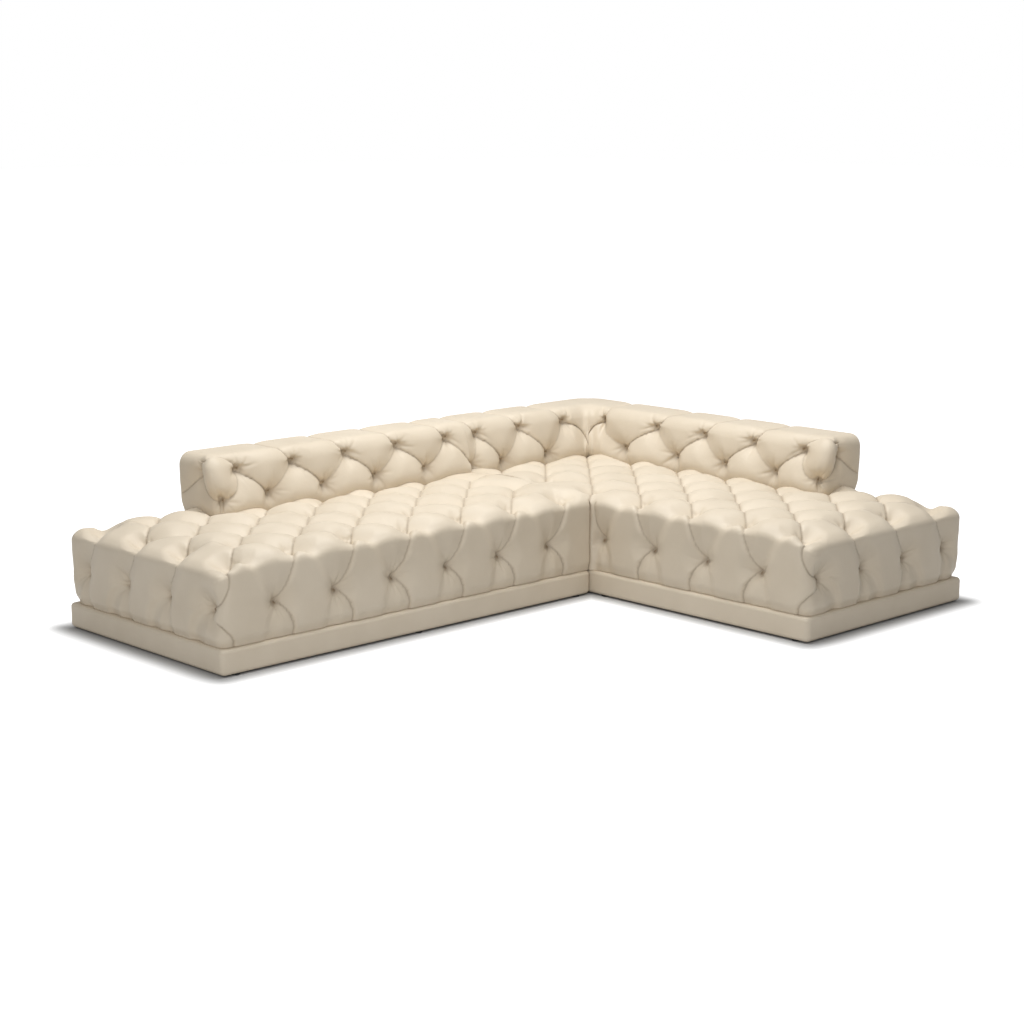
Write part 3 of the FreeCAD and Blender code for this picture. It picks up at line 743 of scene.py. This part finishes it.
def sharp_places(cover, us, vs, ws):
    """Lays a box of cells out on its grid lines: along, across and down."""
    counts = np.rint(places_of(cover)).astype(int)
    return np.stack([us[counts[:, 0]], vs[counts[:, 1]], ws[-counts[:, 2]]], 1)


def seat_lines(length):
    """Columns and rows of the top lattice, and the places of buttons along the long and short sides."""
    xs = np.arange(column_margin, length - column_margin / 2, half_pitch)
    ys = front_margin + row_pitch * np.arange(seat_rows)
    return xs, ys, xs[1::2], ys[0::2]


def top_lattice(net, xs, ys, open_way):
    """Tufts and diagonal pleats of a seat's top. The folds of one diagonal lie more open."""
    crown = net.block.high[2]
    for c, x in enumerate(xs):
        for r, y in enumerate(ys):
            if (c + r) % 2:
                continue
            net.pit((x, y, crown), **top_pit)
            for dc in (-1, 1):
                if 0 <= c + dc < len(xs) and r + 1 < len(ys):
                    crisp = open_crisp if dc == open_way else cross_crisp
                    saddle = dice.uniform(*(open_saddle if dc == open_way else cross_saddle))
                    net.add([(x, y, crown), (xs[c + dc], ys[r + 1], crown)],
                            (tuft_sink, saddle, tuft_sink), top_width, crisp)
    for c, x in enumerate(xs):
        for r, y in enumerate(ys):
            if (c + r) % 2:
                net.swell((x, y, crown), dice.uniform(*puff), puff_reach)


def fall_on(side):
    """How far below the top of the sharp box the buttons of a side lie."""
    drop = front_drop if side == "front" else end_drop
    return seat_height - (button_level - seat_foot) * seat_height / (seat_height - drop)


def button(net, side, s):
    net.side_pit(side, s, fall_on(side), **(front_button if side == "front" else wide_button))


def lap_towards(side, ds):
    """The lap of a pleat that runs down a side, when the hide in the direction ds lies on top."""
    return -hands[side] * (1 if ds > 0 else -1)


def over_edge(net, side, s, tuft, margin, bulge, crisp, lap_width):
    """A pleat from a tuft on the top, over the edge, to a button on the side."""
    fall, ds = fall_on(side), tuft - s
    net.curve(side, [(tuft, -margin), (s + 0.60 * ds, 0), (s + bulge * ds, 0.6 * fall), (s, fall)],
              over_depths, over_width, crisp, lap_towards(side, ds), lap_width)


def to_plinth(net, side, s, ds, crisp, lap_width, depths=foot_depths):
    """A pleat from a button on the side down to the plinth."""
    fall = fall_on(side)
    below = seat_height - fall
    net.curve(side, [(s, fall), (s + 0.7 * ds, fall + 0.3 * below), (s + ds, fall + 0.6 * below),
                     (s + ds, seat_height)],
              depths, foot_width, crisp, lap_towards(side, ds), lap_width)


def long_row(net, side, places, margin, way):
    """The buttons of a long side. The crisp pleats all lie on the same side of their buttons."""
    for s in places:
        at = s + way * button_shift
        button(net, side, at)
        over_edge(net, side, at, s - way * half_pitch, margin, bulge=0.30, crisp=0.0, lap_width=0.05)
        over_edge(net, side, at, s + way * half_pitch, margin, bulge=0.50, crisp=0.7, lap_width=0.018)
        to_plinth(net, side, at, -way * 0.045, crisp=0.0, lap_width=0.045)
        to_plinth(net, side, at, way * 0.062, crisp=0.8, lap_width=0.016)


def end_row(net, side, places):
    """The buttons of a short side, each under one tuft of the top."""
    fall = fall_on(side)
    for s in places:
        at = s + end_shift
        button(net, side, at)
        net.curve(side, [(s, -column_margin), (s - 0.095, -0.03), (s - 0.100, 0.3 * fall),
                         (at - 0.020, 0.75 * fall), (at, fall)],
                  end_depths, width=0.09, crisp=0.7, lap=lap_towards(side, -1), lap_width=0.060)
        for ds in tent_feet:
            to_plinth(net, side, at, ds, crisp=0.0, lap_width=0.03, depths=tent_depths)


def corner_button(net, side, s):
    """The first button of a short side, whose pleats wrap round the upright corner to the front."""
    fall = fall_on(side)
    at = s + end_shift
    button(net, side, at)
    lap = lap_towards(side, -1)
    net.curve(side, [(s, -column_margin), (-0.050, -0.04), (-0.085, 0.40 * fall),
                     (-0.045, 0.85 * fall), (at, fall)],
              over_depths, over_width, crisp=0.8, lap=lap, lap_width=0.040)
    net.curve(side, [(at, fall), (0.09, fall + 0.08), (-0.05, fall + 0.05), (-0.0625, seat_height)],
              foot_depths, width=0.06, crisp=0.8, lap=lap, lap_width=0.016)
    to_plinth(net, side, at, tent_feet[0], crisp=0.0, lap_width=0.03, depths=tent_depths)


def seat_block(length, free, lowered):
    rounds = (corner_round, corner_round, edge_round)
    return Block((0, 0, seat_foot), (length, depth, seat_crown), rounds, rounds, free,
                 seat_foot_inset, seat_foot_reach, lowered)


def make_seat(name, length, block, net, joint, axis, level, keep_clear, stand, body, replaced):
    """Makes one seat's cover. joint tells which places of the sharp box lie on the meeting face."""
    xs, ys, *_ = seat_lines(length)
    us = spread(0, *xs, length)
    vs = spread(0, *ys, depth)
    ws = spread(seat_foot, seat_crown)[::-1]
    cover = cell_box(name, len(us) - 1, len(vs) - 1, len(ws) - 1)
    sharp = sharp_places(cover, us, vs, ws)
    face = joint(sharp)
    rim = face & (sharp[:, 2] > seat_crown - touch)
    places = press_pleats(cover, block, net, sharp, rim, cell)
    square_joint(places, sharp, face, axis, level, seat_foot)
    set_places(cover, places)
    finish_cover(cover, block, net, keep_clear, stand, body, replaced)

# %% [markdown]
# The left seat ends in a flat face where the right one meets it. The folds of its top run up to
# that face at the same places as the folds of its neighbour, so they seem to run through.

# %% Left seat
meetings = np.array([0.081, 0.3517, 0.6222, 0.893])


def left_free(p):
    free = np.ones((len(p), 4))
    free[:, 2] = 0
    return free


def left_lowered(p):
    x, y = p[:, 0], p[:, 1]
    front = front_drop * (1 - ease(y / front_drop_reach))
    others = end_drop * (1 - ease(np.minimum(x, depth - y) / end_drop_reach))
    by_back = (ease((y - depth + back_thickness + dip_reach) / dip_reach)
               * ease((x - back_setback + dip_past) / dip_reach))
    return np.maximum.reduce([front, others, back_drop * by_back])


def left_clear(p):
    p[:, 0] = np.minimum(p[:, 0], left_length)
    below = (p[:, 0] > back_setback + tuck_in) & (p[:, 1] > depth - back_thickness + tuck_in)
    p[below, 2] = np.minimum(p[below, 2], under_back)
    return p


def make_left_seat():
    block = seat_block(left_length, left_free, left_lowered)
    net = Network(block)
    xs, ys, fronts, ends = seat_lines(left_length)
    top_lattice(net, xs, ys, 1)
    long_row(net, "front", fronts, front_margin, 1)
    long_row(net, "rear", fronts, rear_margin, 1)
    end_row(net, "start", ends[1:])
    corner_button(net, "start", ends[0])
    for y, meet in zip(ends[1:], meetings[1:]):
        net.add([(xs[-1], y, seat_crown), (left_length, meet, seat_crown)],
                joint_depths, joint_width, joint_crisp)

    def joint(sharp):
        return sharp[:, 0] > left_length - touch
    make_seat("left_seat_cover", left_length, block, net, joint, 0, left_length, left_clear,
              quarter_turn(0, left_low.x, left_low.y), "left_section",
              ["left_seat_jacket", "left_seat_ties"])


make_left_seat()

# %% [markdown]
# The right seat is laid out along its own length and then turned by a quarter. Part of its front is
# the meeting face, so only the buttons beyond the inner corner have folds over the front edge.

# %% Right seat
corner_clear = 0.03
corner_line = 0.012
joined_past = 0.001


def right_free(p):
    free = np.ones((len(p), 4))
    free[:, 1] = p[:, 0] > depth - touch
    return free


def right_lowered(p):
    x, y = p[:, 0], p[:, 1]
    beyond = np.maximum(depth - x, 0)
    front = np.hypot(beyond, y)
    others = np.minimum.reduce([x, right_length - x, depth - y])
    side = (ease((y - depth + back_thickness + dip_reach) / dip_reach)
            * ease((right_length - back_setback + dip_past - x) / dip_reach))
    rear = ease((back_thickness + dip_reach - x) / dip_reach)
    roll = 1 - np.clip(front / corner_round, 0, 1)
    turned = edge_round * (1 - np.sqrt(1 - roll ** 2)) * (beyond > 0)
    drops = [front_drop * (1 - ease(front / front_drop_reach)),
             end_drop * (1 - ease(others / end_drop_reach)),
             back_drop * np.maximum(side, rear)]
    return np.maximum.reduce(drops) + turned


def right_clear(p):
    joined = p[:, 0] < depth + joined_past
    p[joined, 1] = np.maximum(p[joined, 1], joint_gap)
    side = (p[:, 0] < right_length - back_setback - tuck_in) & (p[:, 1] > depth - back_thickness + tuck_in)
    rear = p[:, 0] < back_thickness - tuck_in
    below = side | rear
    p[below, 2] = np.minimum(p[below, 2], under_back)
    return p


def make_right_seat():
    block = seat_block(right_length, right_free, right_lowered)
    net = Network(block)
    xs, ys, fronts, ends = seat_lines(right_length)
    top_lattice(net, xs, ys, -1)
    inner = [s for s in fronts if s > depth + corner_clear]
    long_row(net, "front", inner[1:], front_margin, -1)
    first = inner[0] - button_shift
    button(net, "front", first)
    fall = fall_on("front")
    over_edge(net, "front", first, inner[0] + half_pitch, front_margin, bulge=0.30, crisp=0.0, lap_width=0.05)
    beside = depth + corner_line
    net.curve("front", [(beside, 0.02), (beside, 0.65 * fall), (first, fall)],
              (0.004, 0.008, 0.022), width=0.05, crisp=0.7, lap=lap_towards("front", -1), lap_width=0.012)
    net.add([(inner[0] - half_pitch, front_margin, seat_crown), (depth - corner_line, 0.0, seat_crown)],
            (0.048, 0.012, 0.010), width=0.07, crisp=1.0)
    to_plinth(net, "front", first, -0.02, crisp=0.0, lap_width=0.02)
    to_plinth(net, "front", first, 0.05, crisp=0.0, lap_width=0.045)
    long_row(net, "rear", fronts, rear_margin, -1)
    end_row(net, "start", ends)
    end_row(net, "end", ends[1:])
    corner_button(net, "end", ends[0])
    for x, meet in zip(xs[0:6:2], depth - meetings[:0:-1]):
        net.add([(x, front_margin, seat_crown), (meet, 0, seat_crown)],
                joint_depths, joint_width, joint_crisp)

    def joint(sharp):
        return (sharp[:, 1] < touch) & (sharp[:, 0] < depth - touch)
    make_seat("right_seat_cover", right_length, block, net, joint, 1, joint_gap, right_clear,
              quarter_turn(-90, right_low.x, right_high.y), "right_section",
              ["right_seat_jacket", "right_seat_ties"])


make_right_seat()

# %% [markdown]
# The backs are low raked blocks with two rows of tufts. Each is pressed as a straight upright block
# first, then leaned, and the one of the right section is also turned round the corner, so that its
# hide runs through without a seam.

# %% Back layout
back_crown = 0.630
back_rear = 0.008
back_front = back_thickness + 0.022
back_slope = math.tan(math.radians(16))
back_height = back_crown - back_foot
upper_level = 0.558
lower_level = 0.450
upper_drop = back_crown - upper_level
lower_drop = back_crown - lower_level
rear_drop = back_crown - 0.430
joint_drop = 0.75 * rear_drop + 0.25 * upper_drop
back_pitch = 0.277
top_lean = 0.055
rounds_low = (0.050, 0.065, 0.055)
rounds_high = (0.050, 0.034, 0.055)
back_foot_inset = (0.020, 0.060)
back_foot_reach = 0.120
corner_span = 0.36
inner_swell = 0.028
inner_span = 0.16
outer_swell = 0.045
outer_depth = 0.14
outer_span = 0.12
face_depths = (0.030, 0.018, 0.030)
crest_depths = (0.030, 0.012, 0.010)
skirt_depths = (0.030, 0.018, 0.006)
soft_depths = (0.030, 0.008, 0.0)
back_pit = dict(depth=0.016, reach=0.018, dimple=0.018, spokes=11, spoke_length=0.085)
end_pit = dict(depth=0.010, reach=0.014, dimple=0.012, spokes=9, spoke_length=0.07)
print("backs", round(back_height, 3), "m high with tufts", back_pitch, "m apart")


def leaned(p):
    """Thins an upright back towards its top."""
    thin = 1 - (p[:, 2] - back_foot) * back_slope / (back_thickness - back_rear)
    return np.stack([p[:, 0], -back_rear + (p[:, 1] + back_rear) * thin, p[:, 2]], 1)


def cornered(p):
    """Leans a back and turns it round the corner of the right section."""
    p = leaned(p)
    beyond = p[:, 0] - depth
    away = -p[:, 1]
    share = np.clip(1 - np.abs(beyond) / corner_span, 0, 1)
    along = np.abs(beyond) + share * away
    inner = inner_swell * away / back_thickness * np.clip(1 - np.abs(beyond) / inner_span, 0, 1) ** 2
    outer = outer_swell * np.clip(1 - away / outer_depth, 0, 1)
    outer = outer * np.clip(1 - np.abs(beyond) / outer_span, 0, 1) ** 2
    along = along + inner + outer
    away = away + inner + outer
    rear = beyond < 0
    return np.stack([depth - np.where(rear, along, away), -np.where(rear, away, along), p[:, 2]], 1)


def uncornered(along, level):
    """Where on the straight block a tuft lies that is seen at this distance from the rear wall."""
    body = back_thickness - back_rear
    away = back_rear + body * (1 - (level - back_foot) * back_slope / body) - inner_swell
    return depth + (along - away) / (1 - away / corner_span) if along < corner_span else depth + along


def level_back(p):
    return np.zeros(len(p))


def back_block(length, start, end):
    def free(p):
        return np.tile([start, 1.0, end, 1.0], (len(p), 1))
    return Block((0, -back_front, back_foot), (length, -back_rear, back_crown), rounds_low, rounds_high,
                 free, back_foot_inset, back_foot_reach, level_back)

# %% [markdown]
# On the face of a back, bowed pleats join upper and lower tufts. Crisp ones run from the upper tufts
# over the top, and soft ones from the lower tufts to the foot.

# %% Pleats of a back


def crest_pleat(net, s, lean):
    """The crisp pleat of an upper tuft, over the top of the back, leaning to its free end."""
    net.curve("front", [(s, upper_drop), (s + 0.5 * lean, 0.5 * upper_drop), (s + 1.1 * lean, -0.02),
                        (s + lean, -back_thickness)], crest_depths, width=0.07, crisp=0.9)


def upper_tuft(net, s, lean):
    """An upper tuft and its soft pleat, away from the free end."""
    net.side_pit("front", s, upper_drop, **back_pit)
    net.curve("front", [(s, upper_drop), (s - 0.7 * lean, 0.6 * upper_drop), (s - 1.1 * lean, -0.01)],
              soft_depths, width=0.06, crisp=0.1)


def lower_tuft(net, s, drop):
    """A lower tuft and the soft pleat from it to the foot."""
    net.side_pit("front", s, drop, **back_pit)
    net.curve("front", [(s, drop), (s, back_height)], skirt_depths, width=0.07, crisp=0.2)


def diagonal(net, upper, lower, drop, crisp):
    """A pleat between an upper and a lower tuft, bowed upwards."""
    middle = 0.55 * lower + 0.45 * upper
    net.curve("front", [(upper, upper_drop), (middle, 0.66 * upper_drop + 0.34 * drop), (lower, drop)],
              face_depths, width=0.075, crisp=crisp)


def lay_rows(net, rows, diagonals):
    """Rows of (what is made, where, its lean or drop), then (uppers, lowers, drop, crisp) of pleats."""
    for make, places, value in rows:
        for s in places:
            make(net, s, value)
    for uppers, lowers, drop, crisp in diagonals:
        for upper, lower in zip(uppers, lowers):
            diagonal(net, upper, lower, drop, crisp)


def free_corner(net, corner, upper, way):
    """The rolled puff on the upright edge of a free end, and the tuft on the end face."""
    face = -0.122 * way + corner
    face_drop = back_crown - 0.552
    low = corner + way * 0.030
    net.side_pit("front", face, face_drop, **end_pit)
    net.side_pit("front", low, lower_drop, **back_pit)
    net.curve("front", [(face, face_drop), (corner - way * 0.2, face_drop + 0.06),
                        (corner - way * 0.27, face_drop + 0.085)],
              (0.020, 0.008, 0.006), width=0.06, crisp=0.8)
    net.curve("front", [(face, face_drop), (corner - way * 0.12, -0.07), (corner, -0.11),
                        (corner + way * 0.14, -0.07), (upper, upper_drop)],
              (0.020, 0.014, 0.030), width=0.05, crisp=0.8)
    for tuft, drop in ((upper, upper_drop), (face, face_drop)):
        bow = corner + 0.95 * (tuft - corner)
        turn = corner + 0.75 * (tuft - corner)
        net.curve("front", [(tuft, drop), (bow, 0.7 * lower_drop), (turn, 0.98 * lower_drop),
                            (low, lower_drop)],
                  (0.024, 0.020, 0.030), width=0.06, crisp=0.6)
    net.curve("front", [(low, lower_drop), (low, back_height)], skirt_depths, width=0.06, crisp=0.2)
    middle = net.fold("front", [corner + 0.01 * way], [0.085])[0]
    net.swell(middle, height=0.024, reach=(0.055, 0.055, 0.085))

# %% [markdown]
# A back ends in a flat face at the joint. The other end is free.

# %% Make a back


def square_end(places, sharp, face):
    """Draws the flat face at a joint in from its sunken border, so that nothing stands out of it."""
    border = face & (sharp[:, 1] < -back_front + touch)
    crest = face & (sharp[:, 2] > back_crown - touch)
    by_level = np.argsort(sharp[border, 2])
    by_depth = np.argsort(sharp[crest, 1])
    front = np.interp(sharp[face, 2], sharp[border, 2][by_level], places[border, 1][by_level])
    top = np.interp(sharp[face, 1], sharp[crest, 1][by_depth], places[crest, 2][by_depth])
    inner = face & ~border & ~crest
    keep = inner[face]
    span = back_front - back_rear
    places[inner, 1] = -back_rear + (sharp[inner, 1] + back_rear) * (-back_rear - front[keep]) / span
    places[inner, 2] = back_foot + (sharp[inner, 2] - back_foot) * (top[keep] - back_foot) / back_height
    places[face, 0] = sharp[face, 0]


def make_back(name, length, block, net, ends, form, stand, body, replaced):
    """Makes one back's cover. ends are the places of its meeting faces, form leans and turns it."""
    us = spread(0, length)
    vs = spread(-back_front, -back_rear)
    ws = spread(back_foot, back_crown)[::-1]
    cover = cell_box(name, len(us) - 1, len(vs) - 1, len(ws) - 1)
    sharp = sharp_places(cover, us, vs, ws)
    faces = [np.abs(sharp[:, 0] - end) < touch for end in ends]
    rim = (sharp[:, 2] > back_crown - touch) | (sharp[:, 1] < -back_front + touch)
    places = press_pleats(cover, block, net, sharp, np.any(faces, axis=0) & rim, cell)
    for face in faces:
        square_end(places, sharp, face)
    set_places(cover, places)

    def keep_clear(p):
        p[:, 2] = np.maximum(p[:, 2], back_foot)
        return form(p)
    finish_cover(cover, block, net, keep_clear, stand, body, replaced)

# %% [markdown]
# The left back has five upper tufts and four lower ones between them. Its free end rolls round in
# one large puff, and its other end is the flat face at the joint.

# %% Left back
left_back_length = left_length - joint_gap - back_setback
first_upper = 0.140
upper_count = 5


def make_left_back():
    block = back_block(left_back_length, 1.0, 0.0)
    net = Network(block)
    uppers = first_upper + back_pitch * np.arange(upper_count)
    lowers = uppers[:-1] + back_pitch / 2
    lay_rows(net, [(upper_tuft, uppers, -top_lean), (crest_pleat, uppers[1:], -top_lean),
                   (lower_tuft, lowers, lower_drop)],
             [(uppers, lowers, lower_drop, 1.0), (uppers[1:], lowers, lower_drop, 0.5)])
    half_way = 0.5 * uppers[-1] + 0.5 * left_back_length
    net.curve("front", [(uppers[-1], upper_drop), (half_way, upper_drop + 0.02),
                        (left_back_length, joint_drop)], (0.030, 0.016, 0.020), width=0.07, crisp=1.0)
    free_corner(net, 0.0, uppers[0], 1)
    make_back("left_back_cover", left_back_length, block, net, [left_back_length], leaned,
              quarter_turn(0, left_low.x + back_setback, left_high.y), "left_section",
              ["left_back_jacket", "left_back_ties"])


make_left_back()

# %% [markdown]
# The corner back is one cover round both walls. The tufts of its rear part are counted from the
# joint, those of its side part from the rear wall, and two folds run into the inner corner.

# %% Corner back
rear_uppers = [0.084, 0.345, 0.619]
rear_lowers = [0.026, 0.217, 0.494]
side_uppers = [uncornered(s, upper_level) for s in (0.316, 0.636, 0.915, 1.192, 1.467)]
side_lowers = [uncornered(s, lower_level) for s in (0.466, 0.7785, 1.052, 1.330)]
rear_meet = 0.462
side_meet = 0.505


def make_corner_back():
    length = depth + right_length - back_setback
    block = back_block(length, 0.0, 1.0)
    net = Network(block)
    lay_rows(net, [(upper_tuft, rear_uppers, -top_lean), (crest_pleat, rear_uppers, -top_lean),
                   (upper_tuft, side_uppers, top_lean), (crest_pleat, side_uppers[:-1], top_lean),
                   (lower_tuft, rear_lowers, rear_drop), (lower_tuft, side_lowers, lower_drop)],
             [(rear_uppers, rear_lowers[1:], rear_drop, 1.0), (rear_uppers, rear_lowers, rear_drop, 0.4),
              (side_uppers[1:], side_lowers, lower_drop, 1.0), (side_uppers, side_lowers, lower_drop, 0.4)])
    for upper, level in ((rear_uppers[-1], rear_meet), (side_uppers[0], side_meet)):
        half_way = 0.5 * upper + 0.5 * depth
        net.curve("front", [(upper, upper_drop), (half_way, upper_drop + 0.005), (depth, back_crown - level)],
                  (0.030, 0.016, 0.014), width=0.07, crisp=1.0)
    net.curve("front", [(depth, back_crown - side_meet), (depth, back_height)],
              (0.014, 0.020, 0.026), width=0.09, crisp=0.35)
    net.curve("front", [(0.0, joint_drop), (rear_lowers[0], rear_drop)],
              (0.020, 0.024, 0.030), width=0.05, crisp=1.0)
    free_corner(net, length, side_uppers[-1], -1)
    make_back("right_back_cover", length, block, net, [0.0], cornered,
              quarter_turn(0, right_low.x, right_high.y), "right_section",
              ["right_rear_back_jacket", "right_rear_back_ties", "right_side_back_jacket",
               "right_side_back_ties"])


make_corner_back()

# %% [markdown]
# The pieces inside are seen when the sections are drawn apart or the sofa is taken to pieces. Each
# gets the finish of its own stuff: grain along the rails, cells in the foam, a weave in webbing and
# dust cloth, a twist in the twine, brushed steel and moulded nylon. The nylon of the glides is
# near-black, partly its own colour and partly a painted shadow under the plinth.

# %% Finishes of the inner pieces


def stuff(name, dark, light, scale, stretch, roughness, metallic, relief, weave=0.0):
    """A material from stretched noise between two colours, with the same pattern as its relief."""
    material, tree = new_material(name)
    place = add_node(tree, "TexCoord").outputs["Object"]
    longer = add_node(tree, "Mapping", ("Vector", place), ("Scale", stretch)).outputs["Vector"]
    pattern = add_node(tree, "TexNoise", ("Vector", longer), ("Scale", scale), ("Detail", 6.0))
    threads = add_node(tree, "TexChecker", ("Vector", longer), ("Scale", 2.5 * scale))
    mixed = add_node(tree, "Mix", ("Factor", weave), ("A", pattern.outputs["Fac"]),
                     ("B", threads.outputs["Fac"]), data_type="FLOAT").outputs["Result"]
    tone = two_tones(tree, mixed, (*dark, 1), (*light, 1), (0.25, 0.8))
    raised = add_node(tree, "Bump", ("Strength", 0.4), ("Distance", relief), ("Height", mixed))
    body = add_node(tree, "BsdfPrincipled", ("Base Color", tone), ("Roughness", roughness),
                    ("Metallic", metallic), ("Normal", raised.outputs["Normal"]))
    add_node(tree, "OutputMaterial", ("Surface", body.outputs[0]))
    return material


def timber(name, stretch):
    return stuff(name, (0.36, 0.22, 0.11), (0.62, 0.44, 0.26), 40, stretch, 0.55, 0, 0.0006)


even = (1, 1, 1)
timber_x = timber("timber_along_x", (0.06, 1, 1))
timber_y = timber("timber_along_y", (1, 0.06, 1))
timber_z = timber("timber_upright", (1, 1, 0.06))
foam = stuff("foam", (0.70, 0.62, 0.36), (0.82, 0.76, 0.52), 260, even, 0.9, 0, 0.0010)
webbing = stuff("webbing", (0.10, 0.09, 0.08), (0.34, 0.28, 0.18), 90, even, 0.85, 0, 0.0008, weave=0.6)
twine = stuff("twine", (0.42, 0.32, 0.19), (0.66, 0.55, 0.38), 300, (1, 1, 0.4), 0.9, 0, 0.0006, weave=0.3)
steel = stuff("steel", (0.42, 0.42, 0.44), (0.60, 0.60, 0.62), 120, (1, 1, 0.08), 0.32, 1, 0.0001)
# The glides are near-black: black nylon, and dark as a painted shadow under the plinth.
nylon = stuff("nylon", (0.016, 0.016, 0.017), (0.030, 0.030, 0.032), 150, even, 0.45, 0, 0.0002)
dust_cloth = stuff("dust_cloth", (0.020, 0.020, 0.021), (0.060, 0.060, 0.062), 160, even, 0.95, 0, 0.0004,
                   weave=0.5)


def timber_for(node):
    """Timber with its grain along the rails or the posts of a node."""
    if "posts" in node.name:
        return timber_z
    crosswise = "end_rails" in node.name or "cross_rails" in node.name
    along_y = crosswise != node.name.startswith("right")
    return timber_y if along_y else timber_x


finishes = [("plinth_cover", leather), ("jacket", leather), ("ties", twine), ("foam", foam),
            ("webbing", webbing), ("glides", nylon), ("dust_cover", dust_cloth), ("screws", steel),
            ("bolts", steel), ("connector", steel)]
for name, node in nodes.items():
    chosen = next((finish for word, finish in finishes if word in name), None)
    node.data.materials.clear()
    node.data.materials.append(chosen or timber_for(node))
print({name: node.data.materials[0].name for name, node in nodes.items()})
